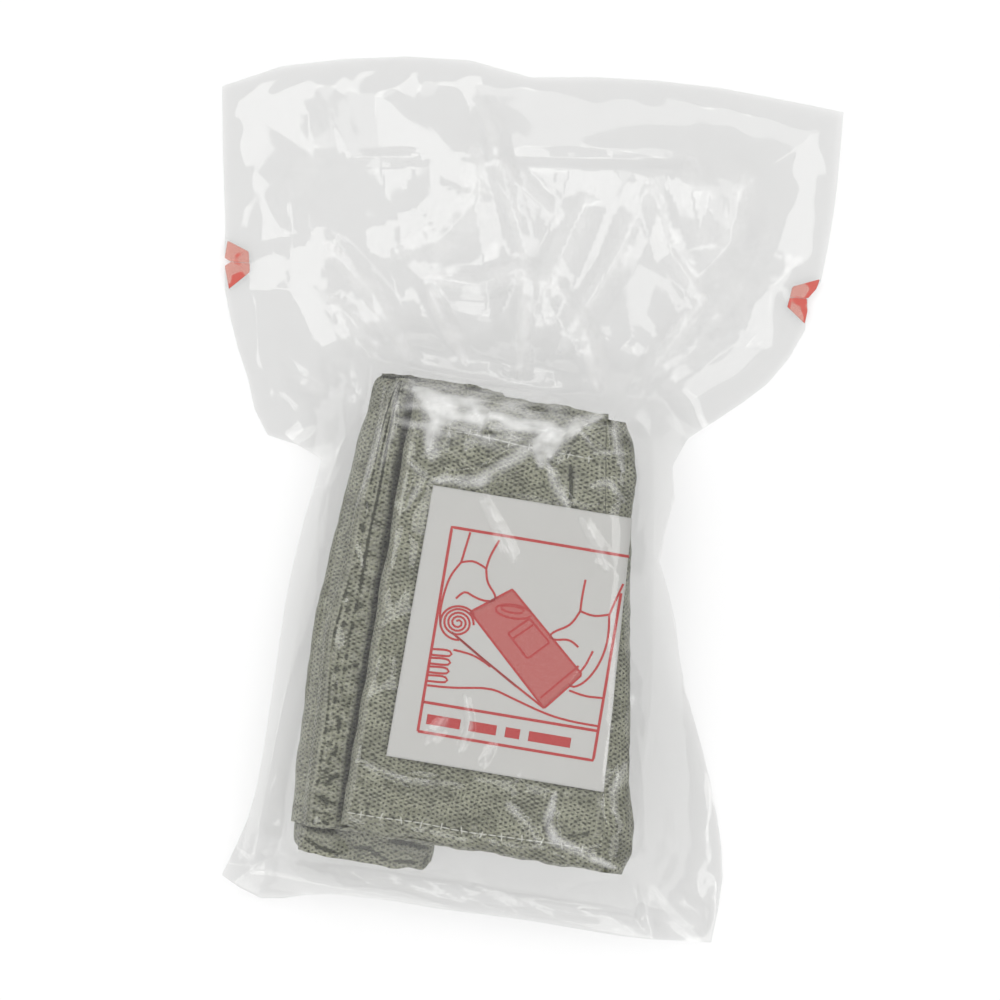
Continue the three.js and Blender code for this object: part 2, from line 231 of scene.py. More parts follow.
def sheet(name, upper, lower, weave=None):
    """A closed thin body between two grids of points, (rows, columns, 3) in millimetres.

    weave gives each grid point the pair of coordinates that the crepe's pattern follows."""
    rows, cols = upper.shape[:2]
    count = rows * cols
    index = np.arange(count).reshape(rows, cols)
    a, b, c, d = index[:-1, :-1], index[:-1, 1:], index[1:, 1:], index[1:, :-1]
    top = np.stack([a, b, c, d], -1).reshape(-1, 4)
    bottom = top[:, ::-1] + count
    rim = np.concatenate([index[0, :], index[1:, -1], index[-1, -2::-1], index[-2:0:-1, 0]])
    after = np.roll(rim, -1)
    sides = np.stack([rim, rim + count, after + count, after], -1)
    faces = np.concatenate([top, bottom, sides])
    points = np.concatenate([upper.reshape(-1, 3), lower.reshape(-1, 3)])
    obj = new_piece(name, points, faces.tolist(), soft=False)
    obj.data.polygons.foreach_set("use_smooth", np.arange(len(faces)) < len(faces) - len(sides))
    if weave is not None:
        pattern = np.zeros((count * 2, 3))
        pattern[:, :2] = np.tile(weave.reshape(-1, 2), (2, 1)) * MM
        # The third value is how deep each point lies in a hollow; the crepe paints shade into hollows and a
        # highlight onto crests from it.
        pattern[:count, 2] = hollows(upper).ravel() * MM
        store(obj, "weave", pattern)
    return obj


def store(obj, name, values):
    """Keeps a value or a vector for each vertex, for a material to read."""
    kind, field = ("FLOAT_VECTOR", "vector") if values.ndim > 1 else ("FLOAT", "value")
    attribute = obj.data.attributes.new(name, kind, "POINT")
    attribute.data.foreach_set(field, values.astype(np.float32).ravel())


def place(obj, body, material, slot, *nodes):
    """Gives a finished piece its material, ties it to a body and hides the CAD nodes it stands for."""
    obj.data.materials.clear()
    obj.data.materials.append(material)
    if body:
        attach(obj, body)
    if nodes:
        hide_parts(*nodes)
    return obj


def stack(x, y, z):
    return np.stack([x, y, z], -1)


def spread(count, crowd=0.6):
    """0 to 1 in count steps, closer together at both ends."""
    u = np.linspace(0, 1, count)
    return (1 - crowd) * u + crowd * (0.5 - 0.5 * np.cos(math.pi * u))


def panel_grid(corners, across, up):
    """Points over a four-cornered panel, at shares across and up it from 0 to 1."""
    s, t = (share[..., None] for share in np.meshgrid(across, up))
    low = (1 - s) * corners[0] + s * corners[1]
    high = (1 - s) * corners[3] + s * corners[2]
    points = (1 - t) * low + t * high
    return points[..., 0], points[..., 1]


def rim_profile(inside, radius):
    """1 well inside a soft panel, falling in a quarter round to almost nothing at its rim."""
    t = 1 - np.clip(inside / radius, 0, 1)
    return np.sqrt(np.maximum(1 - t * t, 0.02))


TUBE_SIDES = 6
TUBE_END = 0.35


def tube(path, radius):
    """Vertices and faces of a closed round thread along a path of (x, y, z) points."""
    path = np.asarray(path, float)
    forward = np.gradient(path, axis=0)
    forward /= np.linalg.norm(forward, axis=1)[:, None]
    across = np.cross(forward, (0.0, 0.0, 1.0))
    across /= np.maximum(np.linalg.norm(across, axis=1)[:, None], 1e-6)
    above = np.cross(across, forward)
    taper = np.ones(len(path))
    taper[[0, -1]] = TUBE_END
    rings = [
        path + (across * math.cos(a) + above * math.sin(a)) * radius * taper[:, None]
        for a in np.linspace(0, 2 * math.pi, TUBE_SIDES, endpoint=False)
    ]
    vertices = np.stack(rings, 1).reshape(-1, 3)
    faces = []
    last = (len(path) - 1) * TUBE_SIDES
    for i in range(0, last, TUBE_SIDES):
        for k in range(TUBE_SIDES):
            j = (k + 1) % TUBE_SIDES
            faces.append([i + k, i + j, i + TUBE_SIDES + j, i + TUBE_SIDES + k])
    faces.append(list(range(TUBE_SIDES))[::-1])
    faces.append(list(range(last, last + TUBE_SIDES)))
    return vertices, faces


def tubes(name, paths, radius):
    """One object holding a closed round thread along each path."""
    vertices, faces = [], []
    for path in paths:
        points, thread_faces = tube(path, radius)
        base = len(vertices)
        vertices += points.tolist()
        faces += [[i + base for i in face] for face in thread_faces]
    return new_piece(name, vertices, faces)


# ---------- materials ----------

class Nodes:
    """A short way to write a material's node tree."""

    def __init__(self, name):
        self.material = bpy.data.materials.new(name)
        self.material.use_nodes = True
        self.tree = self.material.node_tree
        self.tree.nodes.clear()
        self.output = self.tree.nodes.new("ShaderNodeOutputMaterial")

    def add(self, kind, inputs=None, **settings):
        node = self.tree.nodes.new("ShaderNode" + kind)
        for key, value in settings.items():
            setattr(node, key, value)
        for key, value in (inputs or {}).items():
            self.feed(node, key, value)
        return node

    def feed(self, node, key, value):
        if isinstance(value, bpy.types.Node):
            value = value.outputs[0]
        if isinstance(value, bpy.types.NodeSocket):
            self.tree.links.new(value, node.inputs[key])
        else:
            node.inputs[key].default_value = value

    def maths(self, operation, a, b=0.0, c=0.0):
        return self.add("Math", {0: a, 1: b, 2: c}, operation=operation).outputs[0]

    def times(self, a, b):
        return self.maths("MULTIPLY", a, b)

    def minus(self, a, b):
        return self.maths("SUBTRACT", a, b)

    def scaled(self, value, factor, plus):
        """value times factor, plus something more."""
        return self.maths("MULTIPLY_ADD", value, factor, plus)

    def vector(self, operation, a, b):
        second = "Scale" if operation == "SCALE" else 1
        return self.add("VectorMath", {0: a, second: b}, operation=operation).outputs[0]

    def step(self, value, low, high):
        """A smooth step from 0 at low to 1 at high."""
        node = self.add("MapRange", {"Value": value, "From Min": low, "From Max": high})
        node.interpolation_type = "SMOOTHSTEP"
        return node.outputs["Result"]

    def mix(self, factor, a, b):
        node = self.add("Mix", data_type="RGBA")
        for key, value in ((0, factor), (6, a), (7, b)):
            self.feed(node, key, (*value, 1) if isinstance(value, tuple) else value)
        return node.outputs[2]

    def place(self):
        """Where a point is on its piece, in metres."""
        return self.add("TexCoord").outputs["Object"]

    def mapped(self, coordinates, **inputs):
        return self.add("Mapping", {"Vector": coordinates, **inputs}).outputs["Vector"]

    def noise(self, coordinates, scale, detail=3.0, output="Fac"):
        node = self.add("TexNoise", {"Vector": coordinates, "Scale": scale, "Detail": detail})
        return node.outputs[output]

    def attribute(self, name, output="Fac"):
        return self.add("Attribute", attribute_name=name).outputs[output]

    def bump(self, height, strength, distance):
        inputs = {"Height": height, "Strength": strength, "Distance": distance}
        return self.add("Bump", inputs).outputs["Normal"]

    def layer(self, share, under, over):
        """A share of one shader laid over another."""
        return self.add("MixShader", {0: share, 1: under, 2: over})

    def principled(self, colour, roughness, normal, **more):
        inputs = {"Base Color": colour, "Roughness": roughness, "Normal": normal}
        inputs.update({key.replace("_", " "): value for key, value in more.items()})
        return self.add("BsdfPrincipled", inputs)

    def finish(self, shader):
        self.feed(self.output, "Surface", shader)
        return self.material


# The weave's gaps: half their spacing along and across the bandage, in millimetres.
GAP_ALONG = 0.70
GAP_ACROSS = 1.36

# Crepe colours: yarn from its shaded to its lit side, then gaps, painted shade for hollows, a painted
# highlight for crests, and loose fibre.
YARN_DARK = (0.150, 0.154, 0.100)
YARN_LIGHT = (0.38, 0.385, 0.288)
YARN_FADED = (0.36, 0.365, 0.285)
YARN_ROW = (0.120, 0.124, 0.078)
YARN_FLECK = (0.52, 0.52, 0.45)
GAP_COLOUR = (0.030, 0.032, 0.017)
PAINTED_HOLLOW_SHADE = (0.022, 0.024, 0.012)
PAINTED_CREST_HIGHLIGHT = (0.50, 0.50, 0.43)


def crepe_material():
    """Sage elastic crepe: light twisted threads round small dark gaps in staggered rows."""
    m = Nodes("crepe")
    weave = m.add("SeparateXYZ", {0: m.attribute("weave", "Vector")}).outputs
    pattern = m.add("CombineXYZ", {"X": weave["X"], "Y": weave["Y"]}).outputs[0]
    hollow = m.maths("DIVIDE", weave["Z"], MM)
    wander = m.vector("SUBTRACT", m.noise(pattern, 240.0, output="Color"), (0.5, 0.5, 0.5))
    bent = m.vector("ADD", pattern, m.vector("SCALE", wander, 0.0024))
    at = m.add("SeparateXYZ", {0: bent}).outputs
    across = m.maths("COSINE", m.times(at["X"], math.pi / (GAP_ACROSS * MM)))
    along = m.maths("COSINE", m.times(at["Y"], math.pi / (GAP_ALONG * MM)))
    lattice_wave = m.times(m.times(across, m.times(across, across)), along)
    jitter = m.noise(pattern, 430.0, 2.0)
    open_up = m.noise(pattern, 130.0)
    level = m.minus(1.10, m.scaled(jitter, 0.9, m.times(open_up, 0.9)))
    hole = m.step(m.minus(lattice_wave, level), -0.30, 0.26)
    rows = m.step(m.noise(m.mapped(bent, Scale=(60.0, 230.0, 60.0)), 1.0, 2.0), 0.40, 0.68)
    fibre = m.noise(pattern, 1500.0, 4.0)
    faded = m.step(m.noise(pattern, 55.0), 0.3, 0.72)
    fleck = m.step(m.noise(pattern, 620.0, 2.0), 0.62, 0.78)
    colour = m.mix(m.step(fibre, 0.3, 0.7), YARN_DARK, YARN_LIGHT)
    for where, share, shade in (
        (faded, 0.45, YARN_FADED), (rows, 0.50, YARN_ROW), (fleck, 0.42, YARN_FLECK), (hole, 0.9, GAP_COLOUR),
        # Painted shade darkens the cloth's hollows, and a painted highlight lightens its crests.
        (m.step(hollow, 0.02, 0.50), 0.85, PAINTED_HOLLOW_SHADE),
        (m.step(m.times(hollow, -1.0), 0.04, 0.50), 0.30, PAINTED_CREST_HIGHLIGHT),
    ):
        colour = m.mix(m.times(where, share), colour, shade)
    normal = m.bump(m.minus(m.times(fibre, 0.45), hole), 0.85, 0.0005)
    return m.finish(m.principled(
        colour, 0.9, normal, Sheen_Weight=0.25, Sheen_Roughness=0.5, Specular_IOR_Level=0.2
    ))


def film_material():
    """Clear packaging film: glossy, slightly grey, and milky where it is steep or strained."""
    m = Nodes("clear_film")
    at = m.place()
    normal = m.bump(m.scaled(m.noise(at, 420.0), 0.05, m.noise(at, 38.0, 2.0)), 0.07, 0.0015)
    facing = m.add("LayerWeight", {"Blend": 0.5}).outputs["Facing"]
    clear = m.add("BsdfTransparent", {"Color": (0.974, 0.974, 0.973, 1)})
    cloud = m.add("BsdfDiffuse", {"Color": (0.93, 0.93, 0.92, 1)})
    white = m.times(m.attribute("strain"), m.scaled(m.noise(at, 170.0, 2.0), 0.46, 0.10))
    steep = m.scaled(m.maths("POWER", facing, 2.0), 0.03, 0.008)
    body = m.layer(m.maths("ADD", steep, white), clear, cloud)
    shine = m.add("BsdfGlossy", {"Color": (1, 1, 0.985, 1), "Roughness": 0.06, "Normal": normal})
    fresnel = m.add("Fresnel", {"IOR": 1.44, "Normal": normal}).outputs[0]
    return m.finish(m.layer(m.maths("MINIMUM", fresnel, 0.052), body, shine))


def ink_film_material():
    """Red print on the film: translucent, and darker where the two films touch."""
    m = Nodes("tear_mark_ink")
    touch = m.step(m.noise(m.place(), 190.0, 1.0), 0.54, 0.60)
    colour = m.mix(touch, (0.80, 0.36, 0.30), (0.64, 0.11, 0.085))
    ink = m.principled(colour, 0.35, m.bump(touch, 0.3, 0.0003))
    clear = m.add("BsdfTransparent", {"Color": (0.985, 0.86, 0.83, 1)})
    return m.finish(m.layer(m.scaled(touch, 0.42, 0.36), clear, ink))


def plastic_material():
    """Grey-green moulded plastic with a fine spark-eroded grain."""
    m = Nodes("moulded_plastic")
    at = m.place()
    grain = m.noise(at, 2600.0, 2.0)
    edge = m.step(m.add("NewGeometry").outputs["Pointiness"], 0.53, 0.62)
    colour = m.mix(m.noise(at, 60.0), (0.115, 0.125, 0.092), (0.150, 0.160, 0.120))
    colour = m.mix(m.times(edge, 0.35), colour, (0.26, 0.27, 0.22))
    return m.finish(m.principled(colour, m.scaled(grain, 0.2, 0.38), m.bump(grain, 0.25, 0.0002)))


def dressing_material(name, light, shade, dimple):
    """White non-woven dressing: fine fibres with an embossed diamond of dimples, which carry painted shade.
    """
    m = Nodes(name)
    at = m.place()
    turned = m.mapped(at, Rotation=(0, 0, math.pi / 4))
    dots = m.add("TexVoronoi", {"Vector": turned, "Scale": 420.0, "Randomness": 0.0})
    dots.voronoi_dimensions = "2D"
    pressed = m.minus(1.0, m.step(dots.outputs["Distance"], 0.12, 0.34))
    fibre = m.noise(at, 1800.0, 5.0)
    colour = m.mix(m.scaled(fibre, 0.6, m.times(m.noise(at, 45.0), 0.3)), shade, light)
    # Painted shade: the pressed dimples are darkened towards the shade colour.
    colour = m.mix(m.times(pressed, dimple * 0.4), colour, shade)
    height = m.minus(m.times(fibre, 0.5), m.times(pressed, dimple))
    return m.finish(m.principled(colour, 0.88, m.bump(height, 0.6, 0.0004), Sheen_Weight=0.15))


def thread_material():
    m = Nodes("sewing_thread")
    twist = m.add("TexWave", {"Vector": m.place(), "Scale": 900.0, "Distortion": 3.0}).outputs["Fac"]
    colour = m.mix(twist, (0.52, 0.52, 0.46), (0.74, 0.74, 0.68))
    return m.finish(m.principled(colour, 0.8, m.bump(twist, 0.5, 0.0002)))


def paper_material():
    """Uncoated paper with a faint fibre and cockle."""
    m = Nodes("slip_paper")
    at = m.place()
    fibre = m.noise(at, 1300.0, 5.0)
    cockle = m.noise(at, 55.0, 2.0)
    shade = m.scaled(fibre, 0.5, m.times(cockle, 0.4))
    colour = m.mix(shade, (0.49, 0.487, 0.47), (0.56, 0.556, 0.538))
    return m.finish(m.principled(colour, 0.8, m.bump(m.scaled(fibre, 0.15, cockle), 0.25, 0.0008)))


def print_material(name, base, worn):
    """Flat printing ink that lets a little of the paper's grain through."""
    m = Nodes(name)
    grain = m.noise(m.place(), 1600.0, 4.0)
    colour = m.mix(m.step(grain, 0.45, 0.8), base, worn)
    return m.finish(m.principled(colour, 0.65, m.bump(grain, 0.2, 0.0002)))


CREPE = crepe_material()
FILM = film_material()
TEAR_INK = ink_film_material()
PLASTIC = plastic_material()
FACING = dressing_material("pad_facing", (0.66, 0.66, 0.645), (0.44, 0.44, 0.42), 1.0)
WADDING = dressing_material("pad_wadding", (0.64, 0.64, 0.62), (0.48, 0.48, 0.46), 0.1)
THREAD = thread_material()
PAPER = paper_material()
RED = print_material("red_print", (0.42, 0.008, 0.008), (0.50, 0.035, 0.028))
PINK = print_material("pale_red_print", (0.44, 0.085, 0.075), (0.50, 0.15, 0.135))


# ---------- sizes from the frame ----------

ROLL_LOW, ROLL_HIGH = box_of("leader_roll")
ROLL_X, ROLL_Z = (ROLL_LOW[0] + ROLL_HIGH[0]) / 2, (ROLL_LOW[2] + ROLL_HIGH[2]) / 2
BASE_LOW, BASE_HIGH = box_of("base_wrap_panel")
FLAP_LOW, FLAP_HIGH = box_of("flap_wrap_panel")
JOINTS = {joint["name"]: joint for joint in frame["joints"]}
FOLD_AT = np.array(JOINTS["flap_unfold"]["pos_m"]) / MM
FOLD_AXIS = np.array(JOINTS["flap_unfold"]["axis"])
FOLD_LEAN = math.atan2(-FOLD_AXIS[0], FOLD_AXIS[1])
FOLD_RADIUS = FLAP_HIGH[2] - FOLD_AT[2]
CREPE_THICK = FLAP_HIGH[2] - FLAP_LOW[2]
HALF_PANEL = (FLAP_HIGH[1] - FLAP_LOW[1]) / 2


FLAP_MIDDLE = (FLAP_LOW[2] + FLAP_HIGH[2]) / 2 - 0.15
FLAP_HALF = 0.40 * CREPE_THICK


def fold_x(y):
    """x of the fold's axis at a given y."""
    return FOLD_AT[0] - math.tan(FOLD_LEAN) * y


# ---------- crepe panels ----------

# How far the pack's left side is squeezed in, as rows of (y, inset).
LEFT_EDGE = np.array([
    (-80, 7.0), (-71, 3.3), (-58, 2.5), (-37, 1.2), (-7, 0.0), (13, 1.2), (49, 4.2), (64, 6.4), (72, 9.5),
])
# y of the two stitch rows that cross the flap.
LOW_SEAM, HIGH_SEAM = (box_of("flap_stitch_" + row)[0][1] + 0.3 for row in ("bottom", "top"))
# Lumps that the pressure bar's ends and the pack's corner push up in the flap: x, y and height.
LUMPS = ((30, 52, 1.25), (41, -50, 1.35))
RELIEF_LIMIT = 0.6


def left_inset(y):
    return np.interp(y, LEFT_EDGE[:, 0], LEFT_EDGE[:, 1])


def bell(distance, width):
    return np.exp(-((distance / width) ** 2))


def fading_ends(t, margin, power):
    """1 halfway along a fold, falling to almost nothing at both ends."""
    return np.sin(math.pi * np.clip(t, margin, 1 - margin)) ** power


def seam_wander(x):
    return 0.8 * wave(x / 22, 13)


def flap_relief(x, y):
    """How the vacuum has pressed and puckered the flap's upper face."""
    z = 0.22 * noise(x / 4.6, y / 3.4, 11) + 0.42 * noise(x / 15, y / 17, 12)
    z += 0.14 * noise(x / 2.1, y / 2.0, 16)
    for seam in (LOW_SEAM, HIGH_SEAM):
        off_seam = y - (seam + seam_wander(x))
        z -= 0.16 * bell(off_seam, 1.1)
        z += 0.30 * bell(off_seam, 5.0) * noise(x / 2.6, y / 9, 14)
    for bx, by, size in LUMPS:
        across = ((x - bx) / 9.0) ** 2 + ((y - by) / 8.0) ** 2
        z += size * np.exp(-across ** 2)
        z += 0.35 * np.exp(-across / 3) * noise(x / 3.2, y / 3.2, 15)
    for line, depth, width in FABRIC_FOLDS:
        d, t = to_line(x, y, line)
        z += depth * bell(d, width) * fading_ends(t, 0.03, 0.5)
    capped = RELIEF_LIMIT * (1 + np.tanh(z / RELIEF_LIMIT - 1))
    return np.where(z > RELIEF_LIMIT, capped, z)


# Folds pressed into the crepe: points, height and half-width.
FABRIC_FOLDS = [
    ([(20.5, 52), (21.5, 46), (22.5, 40)], -1.1, 0.9),
    ([(24, 53), (33, 50), (36, 44)], 0.7, 1.4),
    ([(-20, 64), (-12, 58), (-2, 60)], 0.6, 1.5),
    ([(-24, 45), (-14, 49), (-6, 44), (2, 47)], 0.55, 1.3),
    ([(-26, 20), (-23, -8), (-25, -34)], 0.4, 2.2),
    ([(33, -48), (31, -56), (36, -61)], -0.8, 1.0),
    ([(47, -44), (50, -52), (51, -60)], 0.7, 1.5),
    ([(30, -44), (44, -46), (52, -41)], 0.55, 1.6),
]


def soft_corners(node, shifts):
    """A panel's corners, moved to where the soft cloth reaches."""
    return corners_of(node) + np.array(shifts)


def build_flap():
    corners = soft_corners("flap_wrap_panel", [(-0.6, 1.2), (-0.25, 0.6), (-0.25, -1.8), (-0.2, -0.6)])
    x, y = panel_grid(corners, spread(150), spread(230))
    inside = -outside(x, y, corners)
    (x0, y0), (x1, y1) = corners[0], corners[3]
    left = x - (x0 + (x1 - x0) * (y - y0) / (y1 - y0))
    ends = np.minimum(y - corners[0][1], corners[2][1] - y)
    x = x + 0.8 * wave(y / 13, 21) * (1 - smooth(0, 12, left))
    y = y + (0.9 * wave(x / 11, 22) + 0.4 * wave(x / 4, 23)) * (1 - smooth(0, 8, ends))
    roll_off = 2.6 * (1 - np.clip(left / 2.2, 0, 1)) ** 2 + 2.0 * (1 - np.clip(ends / 4.0, 0, 1)) ** 2
    body = np.maximum(rim_profile(inside, 1.0), 1 - smooth(0, 2.5, fold_x(y) - x))
    half = FLAP_HALF * body
    relief = flap_relief(x, y) * smooth(0, 3, inside + 0.5)
    upper = stack(x, y, FLAP_MIDDLE + half + relief - roll_off)
    lower = stack(x, y, FLAP_MIDDLE - half + 0.6 * relief - roll_off)
    cover = sheet("flap_cover", upper, lower, np.stack([x - 0.8 * roll_off, y], -1))
    return place(cover, "pad_flap", CREPE, "crepe", "flap_wrap_panel")


# Long folds in the base panel's raised left band: distance from its edge, height and half-width.
BAND_FOLDS = ((3.9, -0.7, 0.5), (5.2, 0.6, 0.8), (8.4, -0.6, 0.55), (11.0, 0.5, 1.0))
BAND_WIDTH = 13.5
BAND_RISE = 5.4


def build_base():
    """The base panel, with the band left of the flap raised over the roll beneath it."""
    corners = soft_corners("base_wrap_panel", [(-0.5, -0.6), (-0.25, 0), (-0.25, 1.2), (0.4, 1.8)])
    x, y = panel_grid(corners, spread(130), spread(200))
    inside = -outside(x, y, corners)
    left = x - corners[0][0]
    x = x + 0.9 * wave(y / 23, 31) * (1 - smooth(0, 10, left))
    middle = (BASE_LOW[2] + BASE_HIGH[2]) / 2
    roll_off = 3.2 * (1 - np.clip(left / 3.0, 0, 1)) ** 2
    shoulder = BAND_WIDTH + 0.8 * wave(y / 16, 40) + 0.5 * wave(y / 5, 47)
    crown = BAND_RISE * smooth(-1.5, 3.4, left) * (1 - smooth(shoulder - 1.0, shoulder + 0.9, left))
    half = 0.38 * CREPE_THICK * np.maximum(rim_profile(inside, 1.0), 1 - smooth(0, 2.5, fold_x(y) - x))
    relief = 0.25 * noise(x / 4.2, y / 3.6, 32) + 0.5 * noise(x / 12, y / 20, 33)
    x = x + left_inset(y) * (1 - smooth(0, 13, left))
    ends = np.minimum(y - corners[0][1], corners[2][1] - y)
    y = y + (1.0 * wave(x / 10, 37) + 0.5 * wave(x / 4, 38)) * (1 - smooth(0, 8, ends))
    puckers = 0.75 * noise(x / 5.2, y / 2.6, 36) + 0.30 * noise(x / 2.4, y / 1.5, 39)
    relief += puckers * smooth(1, 5, left)
    relief += 0.9 * smooth(20, 55, y) * noise(x / 7, y / 2.2, 46) * smooth(1, 4, left)
    fainter_below = 0.25 + 0.75 * smooth(-35, 20, y)
    for offset, height, width in BAND_FOLDS:
        line = offset + 1.3 * wave(y / 30, 34)
        present = smooth(-0.35, 0.3, noise(y / 45, x * 0 + offset, 35)) * fainter_below
        relief += height * present * bell(left - line, width)
    relief *= smooth(0, 2, inside + 0.3) * (1 - smooth(15, 20, left))
    lift = crown - roll_off
    upper = stack(x, y, middle + half + relief + lift)
    lower = stack(x, y, middle - half + np.minimum(lift, 0) + 0.75 * crown)
    cover = sheet("base_cover", upper, lower, np.stack([x - 0.8 * roll_off, y], -1))
    return place(cover, "bandage", CREPE, "crepe", "base_wrap_panel")


def build_fold_web():
    """Crepe that turns up from the base panel into the flap."""
    quarter = math.pi / 2 + 0.12
    length = np.linspace(-HALF_PANEL + 0.6, HALF_PANEL - 0.4, 150)
    turn, y = np.meshgrid(np.linspace(-quarter, quarter, 40), length)
    ripple = 0.30 * noise(turn * FOLD_RADIUS / 3.4, y / 4.4, 41) + 0.45 * noise(turn * 1.6, y / 16, 42)
    slack = 1 + 0.05 * wave(y / 30, 43)
    slack += 0.17 * bell(y - 52, 9) + 0.20 * bell(y + 52, 9)
    slack -= 0.28 * smooth(HALF_PANEL - 7, HALF_PANEL, np.abs(y))
    belly = np.maximum(np.cos(turn), 0)
    outer = (FOLD_RADIUS - 0.15 + 0.9 * ripple * belly ** 2) * (1 + (slack - 1) * np.minimum(2 * belly, 1))
    inner = outer - 0.8 * CREPE_THICK
    lean = math.cos(FOLD_LEAN)

    def ring(radius):
        return stack(fold_x(y) + radius * np.cos(turn) / lean, y, FOLD_AT[2] + radius * np.sin(turn))

    web = sheet("fold_web_cover", ring(outer), ring(inner), np.stack([turn * FOLD_RADIUS, y], -1))
    place(web, None, CREPE, "crepe", "fold_web")
    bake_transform(web)
    return web


# ---------- leader roll ----------

ROLL_TURNS = 4
ROLL_PITCH = 1.5
ROLL_THICK = 1.05
ROLL_HALF_WIDTH = 22.8
ROLL_START = 0.8 * math.pi
# How far the flattened roll and its web depart from round (1) towards square (0).
ROLL_SQUARE = 0.7
WEB_SQUARE = 0.62
WEB_THICK = 0.9

# Slits and puckers pressed into the ends of the roll: points, depth and half-width.
ROLL_FOLDS = [
    ([(-15, -68.2), (-9, -67.6), (-2, -68.4)], 3.0, 0.7),
    ([(-25, -70), (-19, -71.5), (-14, -74)], 1.2, 0.6),
    ([(-40, -70.5), (-34, -73), (-28, -74)], 1.2, 0.6),
    ([(-12, -73.5), (-5, -73)], 1.1, 0.5),
    ([(-3, -74), (-2, -69)], 1.4, 0.6),
    ([(-34, 67), (-26, 70), (-19, 67)], 1.3, 0.6),
    ([(-14, 69), (-5, 67), (2, 66)], 1.5, 0.6),
]


def build_roll():
    """The flattened roll of wrap: one long sheet wound round the closure bar."""
    columns, rows = 64 * ROLL_TURNS + 1, 96
    turn, run = np.meshgrid(np.linspace(0, ROLL_TURNS, columns), 2 * spread(rows, 0.8) - 1)
    angle = ROLL_START - turn * 2 * math.pi
    cosine, sine = np.cos(angle), np.sin(angle)
    half_length = (ROLL_HIGH[1] - ROLL_LOW[1]) / 2
    telescope = 1.2 * wave(turn * 1.7, 51) + 0.5 * wave(turn * 6, 52) - 0.8
    ends = telescope - 3.4 * np.abs(cosine) ** 7 + 0.9 * noise(cosine * 4, sine * 2, 55)
    y = (ROLL_LOW[1] + ROLL_HIGH[1]) / 2 + run * (half_length + ends * np.abs(run) ** 8)
    half_width = ROLL_HALF_WIDTH - ROLL_PITCH * turn
    half_height = (ROLL_HIGH[2] - ROLL_LOW[2]) / 2 + 0.9 - ROLL_PITCH * turn
    below, above = -HALF_PANEL + 0.5, HALF_PANEL + 1.5
    flare = (smooth(below, below - 3.5, y) + smooth(above, above + 1.5, y)) * (turn < 1)
    sway = 0.14 * noise(cosine * 9, y / 1.9, 56) + 0.35 * noise(cosine * 1.5 + 9, y / 11, 53)
    sway += 0.5 * noise(sine * 1.2, y / 33, 54)

    def ring(inset):
        squeeze = 1 - left_inset(y) / 46 * (cosine < 0)
        x = ROLL_X + (half_width - inset + sway) * squared(cosine, ROLL_SQUARE) * squeeze
        z = ROLL_Z + (half_height - inset + 0.5 * sway) * squared(sine, ROLL_SQUARE)
        for line, depth, width in ROLL_FOLDS:
            d, t = to_line(x, y, line)
            z -= depth * bell(d, width) * fading_ends(t, 0.03, 0.5) * (sine > 0)
        z += 6.4 * flare * smooth(-24, -31, x) * np.maximum(sine, 0) ** 0.7
        return stack(x, y, np.maximum(z, 0.5))

    outer = ring(0)
    hops = np.linalg.norm(np.diff(outer[rows // 2], axis=0), axis=1)
    roll = sheet("leader_roll_cover", outer, ring(ROLL_THICK), np.stack([wound(hops, rows), y], -1))
    return place(roll, "leader", CREPE, "crepe", "leader_roll")


def wound(hops, rows):
    """How far along the cloth each column of a grid is, from the steps between columns."""
    return np.tile(np.concatenate([[0], -np.cumsum(hops)]), (rows, 1))


def squared(value, power):
    return np.sign(value) * np.abs(value) ** power


def build_leader_web():
    """The layer that runs from the base panel's left edge round on to the roll."""
    rows = 120
    t, y = np.meshgrid(np.linspace(0, 1, 26), np.linspace(-HALF_PANEL - 0.5, HALF_PANEL + 1.0, rows))
    sway = 0.5 * noise(y / 14, t, 61) + 0.25 * noise(y / 5, t * 2, 62)
    angle = math.radians(62) + t * math.radians(117.9)
    cosine, sine = np.cos(angle), np.sin(angle)
    x = BASE_LOW[0] + 4.2 + left_inset(y) + (8.3 + sway) * squared(cosine, WEB_SQUARE)
    z = 11.4 + (9.6 + 0.4 * sway) * sine ** WEB_SQUARE - 2.0 * smooth(0.8, 1.0, t)
    hops = np.hypot(np.diff(x[rows // 2]), np.diff(z[rows // 2]))
    outer = stack(x, y, z)
    inner = stack(x - WEB_THICK * cosine, y, z - WEB_THICK * sine)
    grids = (grid[:, ::-1] for grid in (outer, inner, np.stack([wound(hops, rows), y], -1)))
    web = place(sheet("leader_web_cover", *grids), None, CREPE, "crepe")
    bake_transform(web)
    return web


# ---------- pads ----------

def puffed(name, node, swell):
    """A wadding pad: the CAD pad's shape filled out by a short pressure simulation."""
    source = frame["nodes"][node]
    obj = linked(name, source.data.copy())
    remesh = obj.modifiers.new("remesh", "REMESH")
    remesh.mode = "VOXEL"
    remesh.voxel_size = 0.0024
    cloth = obj.modifiers.new("cloth", "CLOTH")
    cloth.settings.use_pressure = True
    cloth.settings.uniform_pressure_force = 4
    cloth.settings.effector_weights.gravity = 0
    cloth.settings.quality = 6
    bake(obj, 14)
    rest = np.array([v.co for v in obj.data.vertices])
    low, high = rest.min(0), rest.max(0)
    cad_low, cad_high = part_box(node)
    room = np.array([0.0006, 0.0006, swell * MM])
    scale = (np.array(cad_high) - np.array(cad_low) + 2 * room) / (high - low)
    centre = (np.array(cad_low) + np.array(cad_high)) / 2
    moved = (rest - (low + high) / 2) * np.minimum(scale, 1) + centre
    obj.data.vertices.foreach_set("co", moved.astype(np.float32).ravel())
    obj.modifiers.new("round", "SUBSURF").levels = 1
    obj.modifiers["round"].render_levels = 1
    obj.data.shade_smooth()
    return obj


